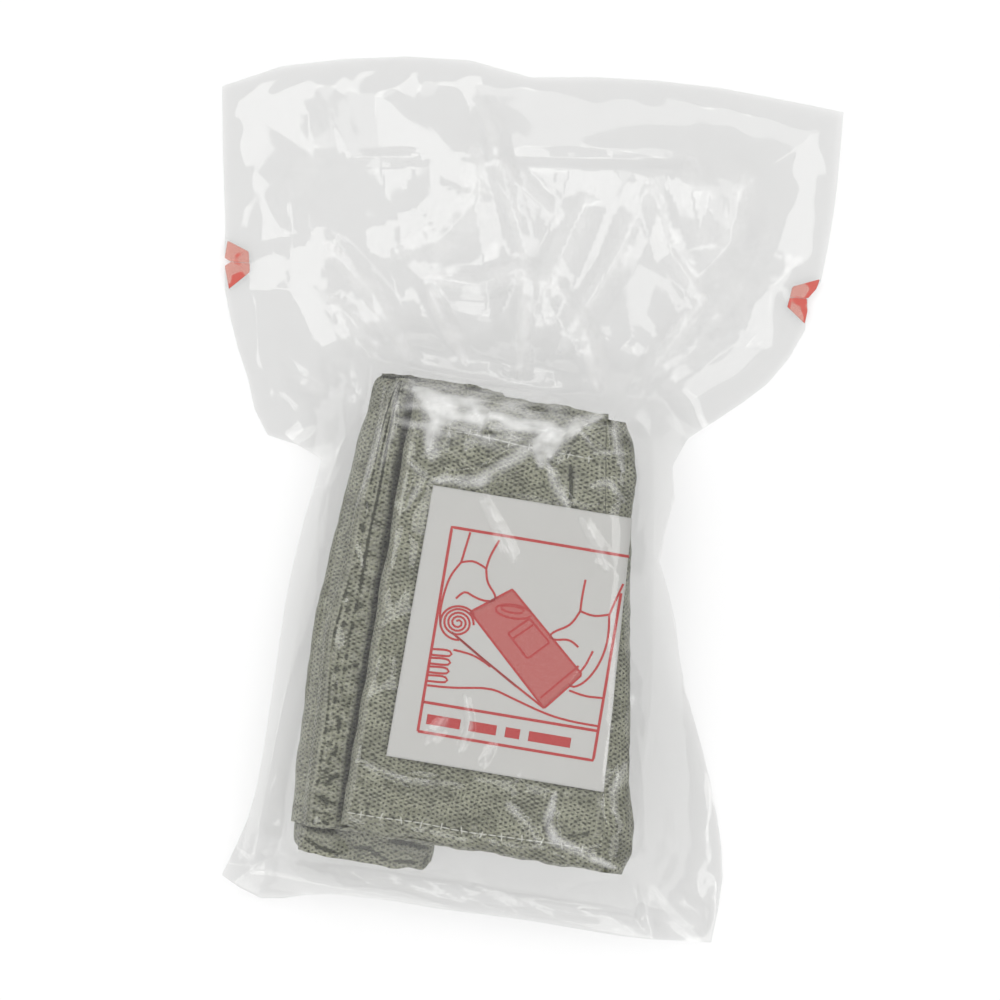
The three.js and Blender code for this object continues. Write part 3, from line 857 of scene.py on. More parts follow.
def bake(obj, frames):
    """Runs the scene to a frame and replaces the object's mesh with what its modifiers make of it."""
    scene = bpy.context.scene
    for number in range(1, frames + 1):
        scene.frame_set(number)
    evaluated = obj.evaluated_get(bpy.context.evaluated_depsgraph_get())
    baked = bpy.data.meshes.new_from_object(evaluated)
    obj.modifiers.clear()
    obj.data = baked
    scene.frame_set(1)


def build_pads():
    for side, body in (("base", "bandage"), ("flap", "pad_flap")):
        core = puffed(side + "_wadding", side + "_pad_core", 0.1)
        place(core, body, WADDING, "pad_core", side + "_pad_core")
        node = side + "_pad_facing"
        low, high = box_of(node)
        corners = corners_of(node)
        x, y = panel_grid(corners, spread(90), spread(140))
        inside = -outside(x, y, corners)
        outward = 1 if side == "base" else -1
        quilt = 0.16 * noise(x / 5, y / 5, 71) + 0.3 * noise(x / 16, y / 16, 72)
        quilt -= 0.35 * bell(inside - 4, math.sqrt(0.9))
        middle = (low[2] + high[2]) / 2 + outward * 0.05 + 0.6 * quilt * outward
        tuck = outward * 1.6 * (1 - np.clip(inside / 2.2, 0, 1)) ** 2
        half = 0.2 * rim_profile(inside, 0.6)
        upper, lower = (stack(x, y, middle + face * half - tuck) for face in (1, -1))
        facing = sheet(side + "_facing", upper, lower)
        place(facing, body, FACING, "pad_facing", node)


# ---------- stitching ----------

STITCH_PITCH = 2.8
STITCH_LENGTH = 2.45
TICK_SPACING = 6.0
TICK_LENGTH = 2.3


def running_stitches(x0, x1, y_of, z_of):
    """Short stitches along x that dip into the cloth at both ends."""
    along = np.linspace(0, STITCH_LENGTH, 5)
    rise = 0.24 * np.sin(math.pi * along / STITCH_LENGTH) + 0.02
    for x in np.arange(x0, x1 - STITCH_PITCH, STITCH_PITCH):
        xs = x + along
        ys = y_of(xs)
        yield stack(xs, ys, z_of(xs, ys) + rise)


def cross_ticks(x0, x1, y_of, z_of):
    """Stitches across the row, each leaning and shifted a little differently."""
    share = np.linspace(-1, 1, 5)
    rise = 0.2 * np.cos(math.pi * share / 2) - 0.06
    for i, x in enumerate(np.arange(x0, x1, TICK_SPACING)):
        ys = y_of(np.full(5, x)) + share * TICK_LENGTH / 2 + 0.4 * math.sin(i * 1.7)
        xs = x + 0.35 * math.sin(i * 2.3) * share
        yield stack(xs, ys, z_of(xs, ys) + rise)


def flap_top(x, y):
    return FLAP_MIDDLE + FLAP_HALF + flap_relief(x, y)


def build_stitches():
    for node, seam, slope in (("flap_stitch_bottom", LOW_SEAM, 0.9), ("flap_stitch_top", HIGH_SEAM, -1.6)):
        low, high = box_of(node)
        span = high[0] - low[0]

        def y_of(x, seam=seam, slope=slope, low=low, span=span):
            return seam + slope * ((x - low[0]) / span - 0.5) + seam_wander(x)

        paths = [*running_stitches(low[0], high[0], y_of, flap_top)]
        paths += cross_ticks(low[0] + 4, high[0], y_of, flap_top)
        place(tubes(node + "_thread", paths, 0.20), "pad_flap", THREAD, "thread", node)
    under = BASE_LOW[2] + 0.1
    for node in ("base_stitch_top", "base_stitch_bottom"):
        low, high = box_of(node)
        middle = (low[1] + high[1]) / 2
        paths = [*running_stitches(low[0], high[0], lambda x: x * 0 + middle, lambda x, y: x * 0 + under)]
        for path in paths:
            path[:, 2] = 2 * under - path[:, 2]
        place(tubes(node + "_thread", paths, 0.15), "bandage", THREAD, "thread", node)


# ---------- moulded bars and their straps ----------

def build_bars():
    for node, bevel in (("pressure_bar", 0.0009), ("closure_bar", 0.0005)):
        obj = frame["nodes"][node]
        obj.data.materials.clear()
        obj.data.materials.append(PLASTIC)
        soften = obj.modifiers.new("soften", "BEVEL")
        soften.width = bevel
        soften.segments = 3
        soften.limit_method = "ANGLE"
        soften.angle_limit = math.radians(35)
        obj.data.shade_smooth()


def build_straps():
    """Crepe loops round the bar's upper wall, rounded from the CAD loops."""
    for node in ("bar_strap_top", "bar_strap_bottom"):
        obj = linked(node + "_loop", frame["nodes"][node].data.copy())
        obj.modifiers.new("weld", "WELD")
        bevel = obj.modifiers.new("bevel", "BEVEL")
        bevel.width = 0.00025
        bevel.segments = 2
        bake(obj, 1)
        points = np.array([v.co for v in obj.data.vertices])
        store(obj, "weave", points @ np.array([[1, 0, 0], [0, 1, 0], [0.4, 0.3, 0]]))
        obj.data.shade_smooth()
        place(obj, None, CREPE, "crepe", node)
        low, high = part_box(node)
        middle = (low + high) / 2
        start, end = ((middle.x, middle.y, height) for height in (high.z, low.z))
        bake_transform(obj)
        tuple(start)
        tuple(end)


# ---------- instruction slip ----------

SLIP_LOW, SLIP_HIGH = box_of("instruction_slip")
SLIP_RIGHT = SLIP_HIGH[0] + 0.6
SLIP_SPLAY = 5.4


def slip_height(x, y):
    """Height of the slip's underside: over the flap, then down round the fold."""
    beyond = np.clip(x - fold_x(y), 0, FOLD_RADIUS)
    radius = FOLD_RADIUS + 0.75
    bend = FOLD_AT[2] + np.sqrt(np.maximum(radius ** 2 - beyond ** 2, 0.1))
    ripple = 0.16 * noise(x / 19, y / 23, 81) + 0.28 * smooth(0.2, 0.8, noise(x / 40, y / 34, 82))
    return np.maximum(bend, FOLD_AT[2] + 2) + 0.15 + ripple


def build_slip():
    columns, rows = 90, 110
    s, t = np.meshgrid(np.linspace(0, 1, columns), np.linspace(0, 1, rows))
    x = SLIP_LOW[0] + s * (SLIP_RIGHT + SLIP_SPLAY * (1 - t) - SLIP_LOW[0]) - 0.5 * (1 - t)
    y = SLIP_LOW[1] + t * (SLIP_HIGH[1] - SLIP_LOW[1])
    z = slip_height(x, y)
    slip = sheet("instruction_leaf", stack(x, y, z + 0.12), stack(x, y, z))
    return lies_flat_when_off(place(slip, "slip", PAPER, "slip_paper", "instruction_slip"))


def lies_flat_when_off(obj):
    """The slip and its print bend round the fold at rest; this gives each piece a mesh of its own."""
    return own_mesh(obj)


def along_line(line, count):
    """Evenly spaced points along a polyline."""
    line = np.asarray(line, float)
    lengths = np.concatenate([[0], np.cumsum(np.hypot(*np.diff(line, axis=0).T))])
    at = np.linspace(0, lengths[-1], count)
    return np.stack([np.interp(at, lengths, line[:, 0]), np.interp(at, lengths, line[:, 1])], -1)


def resample(line, step):
    length = np.hypot(*np.diff(np.asarray(line, float), axis=0).T).sum()
    return along_line(line, max(2, int(length / step) + 1))


def rounded(line, rounds=3):
    """Cuts a polyline's corners until it reads as a curve; its ends stay put."""
    line = np.asarray(line, float)
    for _ in range(rounds):
        near, far = 0.75 * line[:-1] + 0.25 * line[1:], 0.25 * line[:-1] + 0.75 * line[1:]
        inner = np.stack([near, far], 1).reshape(-1, 2)
        line = np.vstack([line[:1], inner[1:-1], line[-1:]])
    return line


PRINT_LIFT = 0.16
PRINT_THICK = 0.035


def ink_strips(name, lines, width, material):
    """Printed lines as thin strips that follow the slip."""
    vertices, faces = [], []
    for line in lines:
        path = resample(line, 1.0)
        forward = np.gradient(path, axis=0)
        forward /= np.maximum(np.hypot(forward[:, 0], forward[:, 1])[:, None], 1e-9)
        side = np.stack([-forward[:, 1], forward[:, 0]], -1) * width / 2
        base = len(vertices)
        for p, n in zip(path, side):
            for edge in (p + n, p - n):
                z = float(slip_height(edge[0], edge[1])) + PRINT_LIFT
                vertices += [(edge[0], edge[1], z + PRINT_THICK), (edge[0], edge[1], z)]
        for i in range(len(path) - 1):
            a, b = base + 4 * i, base + 4 * (i + 1)
            faces += [[a, a + 2, b + 2, b], [a + 1, b + 1, b + 3, a + 3]]
            faces += [[a, b, b + 1, a + 1], [a + 2, a + 3, b + 3, b + 2]]
        end = base + 4 * (len(path) - 1)
        faces += [[base, base + 1, base + 3, base + 2], [end, end + 2, end + 3, end + 1]]
    strips = new_piece(name, vertices, faces, soft=False)
    return lies_flat_when_off(place(strips, "slip", material, "red_ink"))


def ink_patch(name, corners, material):
    """A printed four-cornered patch that follows the slip."""
    share = np.linspace(0, 1, 24)
    x, y = panel_grid(np.array(corners, float), share, share)
    z = slip_height(x, y) + PRINT_LIFT - 0.03
    patch = sheet(name, stack(x, y, z + 0.02), stack(x, y, z))
    return lies_flat_when_off(place(patch, "slip", material, "red_ink"))


def spiral(cx, cy, radius, turns, squash):
    t = np.linspace(0, 1, 60)
    angle = t * turns * 2 * math.pi
    r = radius * (1 - 0.85 * t)
    return list(zip(cx + r * np.cos(angle), cy + squash * r * np.sin(angle)))


def arc(cx, cy, rx, ry, start, stop, count):
    angles = np.radians(np.linspace(start, stop, count))
    return list(zip(cx + rx * np.cos(angles), cy + ry * np.sin(angles)))


def build_print():
    """A generic first-aid drawing: a forearm, a band laid over it, a roll and two simple hands."""
    left, right, top, bottom, rule = -11.0, 42.0, 27.2, -33.8, -25.0
    frame_lines = [
        [(left, bottom), (left, top), (right, top)],
        [(left, bottom), (right - 0.6, bottom), (right - 0.6, top - 11)],
        [(left, rule), (right - 0.6, rule)],
    ]
    forearm = [
        [(-4.6, -8.4), (1, -8.8), (5.4, -10.6), (7.0, -11.6)],
        [(-10.5, -20.0), (-3, -19.6), (8, -17.6), (14, -19.4), (26, -22.8), (34, -23.6), (41, -23.6)],
        [(31, -14.6), (36, -15.6), (41, -15.2)],
    ]
    fingers = [
        [(-10.6, y), (-6.4, y + 0.5), (-4.8, y - 0.1), (-5.0, y - 1.4), (-10.6, y - 1.7)]
        for y in (-9.2, -11.8, -14.4, -17.0)
    ]
    band = [(-1.6, 3.4), (9.6, 12.0), (34.0, -9.4), (24.6, -21.0)]
    near_edge = [(-6.0, -3.4), (3.0, -8.8), (14.5, -15.4), (24.6, -21.0)]
    hems = [[(-4.2, -4.4), (4.4, -9.6), (15.4, -16.0)], [(23.0, -18.2), (32.6, -7.0)]]
    roll = [spiral(-4.6, -0.3, 4.7, 3.4, 0.92), arc(-4.4, -0.4, 5.4, 5.0, 40, 280, 20)]
    pad = [(10.5, -1.0), (16.0, 4.4), (23.0, -1.6), (17.4, -7.4)]
    pads = [pad + [pad[0]], [(12.0, -2.4), (17.6, 3.0)]]
    bar = [arc(11.0, 5.6, 5.4, 2.0, 20, 350, 20), arc(10.6, 6.2, 3.6, 1.0, 0, 330, 16)]
    hands = [
        [(-5.4, 26.6), (-6.0, 22.0), (-6.6, 17.4)],
        [(3.4, 25.6), (1.4, 20.4), (1.0, 16.8)],
        [(-6.6, 17.4), (-3.0, 18.6), (1.0, 16.8)],
        [(-6.6, 17.4), (-9.2, 13.0), (-10.2, 7.0), (-10.4, 1.4), (-9.4, -2.4)],
        [(1.0, 16.8), (1.8, 12.8), (5.0, 9.6), (5.2, 7.8), (2.2, 7.2), (-1.4, 8.0), (-4.2, 9.4), (-6.4, 6.6)],
        [(30.4, 18.4), (30.2, 13.4), (30.4, 9.0)],
        [(41.6, 19.0), (40.2, 14.0), (39.0, 9.4)],
        [(30.4, 9.0), (34.6, 8.0), (39.0, 9.4)],
        [(30.4, 9.0), (28.4, 4.4), (24.0, 2.0), (22.4, 0.2), (24.2, -0.8), (28.6, 0.4), (31.6, -1.6)],
        [(39.0, 9.4), (40.0, 2.0), (38.6, -5.6), (35.4, -11.4), (31.8, -13.8), (30.4, -12.6)],
        [(36.0, -2.0), (34.8, -6.0), (33.4, -8.6)],
    ]
    drawing = [rounded(line) for line in forearm + fingers]
    drawing += [band + [band[0]], near_edge, *hems, *roll, *pads, *bar]
    drawing += [rounded(line) for line in hands]
    ink_strips("slip_frame_print", frame_lines, 0.85, RED)
    ink_strips("slip_drawing_print", drawing, 0.66, RED)
    ink_patch("slip_band_print", band, PINK)
    x, low, high = left + 2.0, -31.3, -28.3
    for number, width in enumerate((10.0, 8.2, 4.4, 12.6)):
        corners = [(x, low), (x + width, low), (x + width, high), (x, high)]
        ink_patch(f"slip_caption_bar_{number + 1}", corners, RED)
        x += width + 2.6


# ---------- film ----------

def nearest_corner(loop, low, high, fx, fy):
    hint = low[:2] + (high[:2] - low[:2]) * np.array([fx, fy])
    return int(np.argmin(np.hypot(*(loop - hint).T)))


def edge_points(loop, start, stop):
    """The outline from one corner on to the next, anticlockwise."""
    if stop <= start:
        stop += len(loop)
    return np.array([loop[i % len(loop)] for i in range(start, stop + 1)])


class Patch:
    """A sheet of film between four edges of a CAD outline."""

    def __init__(self, node, hints):
        low, high = box_of(node)
        self.loop = outline_of(node)
        picks = [nearest_corner(self.loop, low, high, *hint) for hint in hints]
        pairs = zip(picks, picks[1:] + picks[:1])
        self.bottom, self.right, self.top, self.left = (edge_points(self.loop, a, b) for a, b in pairs)

    def grid(self, columns, rows):
        bottom = along_line(self.bottom, columns)[None, :, :]
        top = along_line(self.top[::-1], columns)[None, :, :]
        right = along_line(self.right, rows)[:, None, :]
        left = along_line(self.left[::-1], rows)[:, None, :]
        s = np.linspace(0, 1, columns)[None, :, None]
        t = np.linspace(0, 1, rows)[:, None, None]
        points = (1 - s) * left + s * right + (1 - t) * bottom + t * top
        points -= (1 - s) * (1 - t) * bottom[:, :1] + s * (1 - t) * bottom[:, -1:]
        points -= (1 - s) * t * top[:, :1] + s * t * top[:, -1:]
        return points[..., 0], points[..., 1]


POUCH = Patch("pouch_back_film", [(0.163, 0.025), (0.998, 0.044), (0.98, 1.0), (0.007, 0.913)])
STRIP = Patch("strip_back_film", [(0.063, 0.0), (0.983, 0.236), (0.99, 0.99), (0.0, 0.68)])
STRIP.bottom = POUCH.top[::-1]
# Half the left notch's width at the film's edge, and how much of the edge beside it is redrawn.
NOTCH_MOUTH = 1.2
NOTCH_REACH = 3.2


def cut_notch(lower, upper):
    """Two edges that start at a notch, filled out so that only a small cut is left; and its mouth.

    The right-hand notch keeps its wide V, which the strip needs to turn round it."""
    notch = lower[0]
    lower, upper = (edge[np.hypot(*(edge - notch).T) > NOTCH_REACH] for edge in (lower, upper))
    along = (upper[0] - lower[0]) / math.dist(upper[0], lower[0])
    middle = lower[0] + along * ((notch - lower[0]) @ along)
    mouth = {"lower": middle - NOTCH_MOUTH * along, "upper": middle + NOTCH_MOUTH * along}
    return np.vstack([notch, mouth["lower"], lower]), np.vstack([notch, mouth["upper"], upper]), mouth


POUCH.left, left_above, LEFT_MOUTH = cut_notch(POUCH.left, STRIP.left[::-1])
STRIP.left = left_above[::-1]
# The pouch's outer edge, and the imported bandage's outline seen from above, a little oversize.
RIM = [POUCH.left, POUCH.bottom, POUCH.right, STRIP.right, STRIP.top, STRIP.left]
PACK_OUTLINE = np.array([
    (ROLL_LOW[0] - 1.5, ROLL_LOW[1] - 0.5),
    (fold_x(ROLL_LOW[1]) + 6.5, ROLL_LOW[1] - 0.5),
    (fold_x(ROLL_HIGH[1]) + 5.5, ROLL_HIGH[1]),
    (ROLL_LOW[0] + 3.5, ROLL_HIGH[1]),
])
FILM_THICK = 0.12
FLAT_FILM = 0.6


def rim_distance(x, y):
    best = np.full_like(x, 1e9)
    for points in RIM:
        best = np.minimum(best, to_line(x, y, points[::2] if len(points) > 8 else points)[0])
    return best


# Creases that the film holds: points, height and half-width.
PACK_CREASES = [
    ([(-5, 62), (4, 60.5), (12, 60), (17, 59.5), (21, 64), (27, 67)], 2.6, 1.9),
    ([(-18, 40), (-5, 42), (6, 52), (13, 59.5)], 2.2, 1.5),
    ([(12.5, 60), (14, 53)], 1.8, 2.2),
    ([(14, 50), (17, 44), (22, 38)], 1.3, 1.1),
    ([(-28, 65), (-14, 62), (-5, 61)], 2.6, 3.2),
    ([(-25, 62), (-21, 54), (-20, 46)], 1.6, 2.2),
    ([(16, 60), (12, 56), (12, 50)], 2.0, 3.0),
    ([(-38, 66), (-37, 50), (-39, 34)], 0.8, 0.5),
    ([(-34, 66), (-33, 52), (-35, 40)], 0.9, 0.6),
    ([(-22, 57), (-8, 55), (8, 54)], 0.9, 0.6),
    ([(-12, 66), (-7, 58), (-11, 50)], 0.9, 0.8),
    ([(21, 62), (28, 56), (36, 57)], 0.9, 0.7),
    ([(27, 46), (33, 48), (38, 43)], 0.9, 0.8),
    ([(-27, 44), (-22, 41), (-25, 30)], 0.9, 0.8),
    ([(2, -38), (4, -30), (1, -21)], 0.9, 0.8),
    ([(9, -41), (12, -33)], 0.8, 0.8),
    ([(-24, -46), (-10, -49), (4, -47)], 0.8, 0.7),
    ([(18, -50), (26, -56), (30, -62)], 0.9, 0.7),
    ([(31, 67), (33, 59), (36, 52)], 1.5, 1.0),
    ([(-4, 37), (5, 26), (9, 20)], 0.9, 1.3),
    ([(26, 36), (33, 28), (36, 22)], 0.9, 1.2),
    ([(32, -45), (31, -53), (34, -59), (41, -61), (53, -64)], 1.7, 1.2),
    ([(51, -33), (49, -42), (50, -48)], 1.2, 1.1),
    ([(-8, -37), (-3, -28)], 0.7, 1.3),
    ([(-36, 60), (-37, 44), (-40, 28)], 0.6, 0.5),
    ([(-30, 68), (-20, 58), (-22, 48)], 1.2, 1.6),
]
HEADER_CREASES = [
    ([(-31, 167), (-25, 157), (-18, 145), (-15, 137), (-10, 126), (-2, 108)], 2.4, 2.0),
    ([(-15, 137), (-4, 128), (6, 122)], 1.8, 2.2),
    ([(-83, 154), (-74, 142), (-70, 128), (-76, 116), (-77, 106)], 1.3, 3.2),
    ([(-23, 138), (-19, 125), (-29, 111), (-41, 105)], 2.2, 5.0),
    ([(-30, 99), (-15, 100), (-4, 106), (6, 103)], 2.4, 2.4),
    ([(-31, 98), (-22, 85), (-14, 75)], 2.8, 1.6),
    ([(58, 144), (56, 122), (48, 112)], 2.0, 4.0),
    ([(30, 139), (24, 112), (12, 84)], 2.3, 2.6),
    ([(30, 139), (40, 118), (52, 106)], 1.7, 2.2),
    ([(13, 133), (7, 110), (-1, 86)], 2.4, 3.0),
    ([(41, 147), (44, 134), (49, 122)], 1.8, 3.6),
    ([(52, 107), (42, 87), (33, 70)], 3.0, 2.2),
    ([(9, 102), (20, 89), (27, 70)], 3.0, 2.0),
    ([(68, 126), (60, 104), (44, 82)], 1.8, 4.5),
    ([(-58, 89), (-42, 76)], 2.4, 2.6),
    ([(-80, 69), (-54, 58), (-42, 62)], 2.0, 2.4),
    ([(77, 98), (54, 86), (40, 74)], 2.2, 3.0),
    ([(-15, 139), (15, 143), (45, 148)], -1.3, 1.4),
    ([(-58, 131), (-38, 135)], 1.2, 1.3),
    ([(-62, 104), (-46, 92), (-32, 74)], 2.4, 2.6),
    ([(-4, 106), (0, 90), (2, 72)], 2.6, 1.6),
]
FOOT_CREASES = [
    ([(48, -3), (54, -10), (52, -14), (57, -23), (69, -23)], 1.8, 1.3),
    ([(58, -24), (64, -40), (66, -56)], 1.1, 1.8),
    ([(60, -57), (69, -60), (67, -69)], 1.7, 1.3),
    ([(72, -68), (85, -79)], 1.4, 1.6),
    ([(42, 54), (49, 46), (47, 33), (47, 21)], 1.0, 1.4),
    ([(-47, 48), (-53, 37), (-54, 10)], 1.0, 1.6),
    ([(-50, -14), (-53, -45), (-57, -80)], 1.1, 1.6),
    ([(-31, -79), (-25, -84), (-14, -84)], 1.3, 1.2),
    ([(5, -68), (12, -77), (26, -82)], 1.4, 1.3),
    ([(16, -66), (17.5, -76)], 1.6, 1.0),
    ([(42, -61), (45, -71)], 1.6, 1.1),
    ([(36, -77), (45, -70), (56, -66)], 1.2, 1.2),
    ([(58, -64), (70, -74), (84, -82)], 2.0, 1.6),
    ([(-38, -77), (-46, -86)], 1.4, 1.2),
    ([(-46, -74), (-58, -82)], 1.4, 1.3),
    ([(56, -52), (68, -54), (82, -60)], 1.4, 2.0),
]


def crease_height(x, y, creases):
    """Tent-shaped ridges along lines, fading at both ends."""
    z = np.zeros_like(x)
    for line, height, width in creases:
        d, t = to_line(x, y, line)
        ridge = np.clip(1 - d / (2.3 * width), 0, 1) * (1 + 0.25 * noise(x / 17, y / 17, 91))
        z += height * ridge * fading_ends(t, 0.02, 0.6)
    return z


def crease_whitening(x, y, creases):
    """Stress whitening along creases: bands with fairly sharp edges, patchy along their length."""
    total = np.zeros_like(x)
    for number, (line, height, width) in enumerate(creases):
        d, t = to_line(x, y, line)
        reach = 1.3 * width * (0.35 + 0.65 * np.sin(math.pi * np.clip(t, 0, 1)) ** 0.7)
        patchy = 0.65 + 0.6 * noise(x / 6, y / 6, 95 + number)
        total += max(height, 0) / 2.2 * np.exp(-((d / reach) ** 4)) * np.clip(patchy, 0, 1.3)
    return total


DRAPE_STEP = 1.5
DRAPE_PULL = 0.05
DRAPE_ROUNDS = 900
DRAPE_SMOOTHING = 5
FILM_GAP = 0.95


def neighbours(z):
    return z[:-2, 1:-1] + z[2:, 1:-1] + z[1:-1, :-2] + z[1:-1, 2:]


def drape_grid(contents):
    """Film pulled down over the contents by the vacuum: a relaxed membrane that cannot pass them."""
    xs = np.arange(ROLL_LOW[0] - 60, FLAP_HIGH[0] + 42, DRAPE_STEP)
    ys = np.arange(ROLL_LOW[1] - 16, STRIP.top[:, 1].max() + 2, DRAPE_STEP)
    x, y = np.meshgrid(xs, ys)
    under = np.full_like(x, FLAT_FILM)
    trees = []
    for obj in contents:
        vertices = [v.co / MM for v in obj.data.vertices]
        trees.append(BVHTree.FromPolygons(vertices, [tuple(p.vertices) for p in obj.data.polygons]))
    for i, j in np.argwhere(outside(x, y, PACK_OUTLINE) < 6):
        for tree in trees:
            hit = tree.ray_cast((x[i, j], y[i, j], 80.0), (0, 0, -1))[0]
            if hit:
                under[i, j] = max(under[i, j], hit.z + FILM_GAP)
    wide = np.pad(under, 1, mode="edge")
    for di in (0, 1, 2):
        for dj in (0, 1, 2):
            under = np.maximum(under, wide[di:di + len(ys), dj:dj + len(xs)] - 0.35)
    z = under.copy()
    for _ in range(DRAPE_ROUNDS):
        z[1:-1, 1:-1] = np.maximum(under[1:-1, 1:-1], neighbours(z) / 4 - DRAPE_PULL)
    for _ in range(DRAPE_SMOOTHING):
        z[1:-1, 1:-1] = (z[1:-1, 1:-1] * 4 + neighbours(z)) / 8
    return xs, ys, z


def drape(x, y):
    """The draped film's height, read off the relaxed grid."""
    xs, ys, z = DRAPE
    u = np.clip((x - xs[0]) / DRAPE_STEP, 0, len(xs) - 1.001)
    v = np.clip((y - ys[0]) / DRAPE_STEP, 0, len(ys) - 1.001)
    i, j = v.astype(int), u.astype(int)
    fu, fv = u - j, v - i
    low = z[i, j] * (1 - fu) + z[i, j + 1] * fu
    high = z[i + 1, j] * (1 - fu) + z[i + 1, j + 1] * fu
    return low * (1 - fv) + high * fv


DRAPE_BLUR = ((-1.1, 0.25), (0, 0.5), (1.1, 0.25))


def draped(x, y):
    """The drape evened out over a couple of millimetres, so that no grid shows in its gloss."""
    return sum(wx * wy * drape(x + dx, y + dy) for dx, wx in DRAPE_BLUR for dy, wy in DRAPE_BLUR)


def table_lift(x, y):
    """How far the empty film curls up off the table."""
    away = smooth(6, 60, outside(x, y, PACK_OUTLINE))
    curl = 0.5 + 0.5 * noise(x / 58 + 3.1, y / 52, 101)
    beside = np.maximum(outside(x, y, PACK_OUTLINE), 0)
    margin = beside + rim_distance(x, y)
    return away * (0.3 + 2.6 * curl) + 11 * bell(margin, 14) * smooth(0, 9, beside)


def facet_fan(rings, spokes, seed):
    """Flat facets that spread like a fan from the pack's middle, as a tree to read heights from."""
    vertices, faces = [], []
    for i in range(rings + 1):
        for j in range(spokes):
            spot = np.array([i]), np.array([j])
            swing, reach, height = (float(lattice(*spot, seed + k)[0]) for k in range(3))
            angle = (j + 0.5 * (i % 2) + 0.7 * swing - 0.35) / spokes * 2 * math.pi
            radius = FAN_INNER * (FAN_OUTER / FAN_INNER) ** ((i + 0.6 * reach - 0.3) / rings)
            x, y = FAN_AT[0] + radius * math.sin(angle), FAN_AT[1] + radius * math.cos(angle)
            vertices.append((x, y, height))
    for i in range(rings):
        for j in range(spokes):
            k = (j + 1) % spokes
            a, b = i * spokes + j, i * spokes + k
            c, d = a + spokes, b + spokes
            faces += [(a, b, c), (b, d, c)] if i % 2 == 0 else [(a, b, d), (a, d, c)]
    return BVHTree.FromPolygons(vertices, faces)


def read_facets(tree, x, y):
    """Height and both slopes of the facets over each point."""
    found = np.zeros((x.size, 3))
    for i, (px, py) in enumerate(zip(x.ravel(), y.ravel())):
        hit, normal = tree.ray_cast((px, py, 9.0), (0, 0, -1))[:2]
        if hit:
            found[i] = hit.z, -normal.x / normal.z, -normal.y / normal.z
    return [column.reshape(x.shape) for column in found.T]


# The fans' centre and the radii between which their rings are spaced.
FAN_AT = (2.0, 12.0)
FAN_INNER = 14.0
FAN_OUTER = 230.0
FAN = facet_fan(8, 28, 112)
FINE_FAN = facet_fan(15, 70, 114)


def read_fans(x, y):
    return [read_facets(tree, x, y) for tree in (FAN, FINE_FAN)]


def film_shape(x, y, fans=None, step=(0.0, 0.0)):
    """Heights of the front film's upper face and of the back film's, and how far the front is strained.

    fans holds the facets read at (x, y); step moves every point a little along them."""
    fans = fans or read_fans(x, y)
    fan, fine_fan = (height + along * step[0] + up * step[1] for height, along, up in fans)
    x, y = x + step[0], y + step[1]
    d_low = outside(x, y, PACK_OUTLINE)
    rim = rim_distance(x, y)
    lift = table_lift(x, y)
    base = draped(x, y)
    free = smooth(0, 9, d_low) * smooth(3.0, 32, rim)
    near = np.exp(-np.maximum(d_low, 0) / 40)
    broad = planes(x / 36, y / 33, 117) + 0.30 * planes(x / 15 + y / 60, y / 20, 118)
    ballooned = 0.8 * smooth(4, 40, rim) * (0.6 + 0.5 * noise(x / 34, y / 30, 115))
    header = free * ((6.0 * near + 4.6) * fan + (3.6 * near + 0.1) * fine_fan + 3.4 * broad + ballooned)
    foot = smooth(0, 4, d_low) * smooth(0, 5, rim) * smooth(-58, -70, y)
    header += foot * (2.4 * planes(x / 13, y / 8, 125) + 0.8 * planes(x / 5, y / 5, 126))
    ridges = free * crease_height(x, y, HEADER_CREASES)
    ridges += smooth(0, 4, rim) * crease_height(x, y, FOOT_CREASES)
    on_pack = 1 - smooth(-3, 4, d_low)
    cling = 0.30 * (1 - np.abs(noise(x / 19, y / 23, 121))) ** 7 + 0.10 * noise(x / 12, y / 12, 123)
    folds = crease_height(x, y, PACK_CREASES)
    near_rim = smooth(1, 5, rim) * (1 - smooth(7, 13, rim))
    edge_ripple = 0.30 * noise(x / 9, y / 9, 124) * near_rim * smooth(0, 6, d_low)
    front = base + header + ridges + on_pack * (cling + folds) + edge_ripple + lift
    back = 0.14 + lift
    whitened = on_pack * crease_whitening(x, y, PACK_CREASES)
    whitened += 0.35 * free * crease_whitening(x, y, HEADER_CREASES)
    veil = smooth(50, 57, y) * smooth(-36, -26, x) * (1 - smooth(8, 22, x))
    streaks = np.clip(0.5 + 0.9 * noise(x / 10 + y / 14, y / 2.4 - x / 20, 128), 0, 1)
    whitened += on_pack * 0.9 * veil * streaks
    strain = np.clip(whitened, 0, 1.6)
    return np.maximum(front, back + 0.35), back, strain


FILM_COLUMNS = 200
POUCH_ROWS = 248
STRIP_ROWS = 80


def lay_film(node, body, x, y, height, thick, normals, strain=None):
    """One layer of film over a grid, shaded with normals shared across the tear line."""
    film = sheet(node + "_skin", stack(x, y, height), stack(x, y, height - thick))
    if strain is not None:
        store(film, "strain", np.tile(strain.ravel(), 2))
    flat = normals.reshape(-1, 3)
    store(film, "custom_normal", np.concatenate([flat, -flat]))
    return place(film, body, FILM, "clear_film", node)


SLOPE_STEP = 0.15


def film_normals(x, y, fans):
    """Exact normals of the front and back film, so that a crease stays crisp between grid points."""
    def slopes(step):
        ahead = film_shape(x, y, fans, step)
        behind = film_shape(x, y, fans, (-step[0], -step[1]))
        return [(a - b) / (2 * SLOPE_STEP) for a, b in zip(ahead[:2], behind[:2])]

    for along, up in zip(slopes((SLOPE_STEP, 0)), slopes((0, SLOPE_STEP))):
        normals = stack(-along, -up, np.ones_like(up))
        yield normals / np.linalg.norm(normals, axis=2)[..., None]


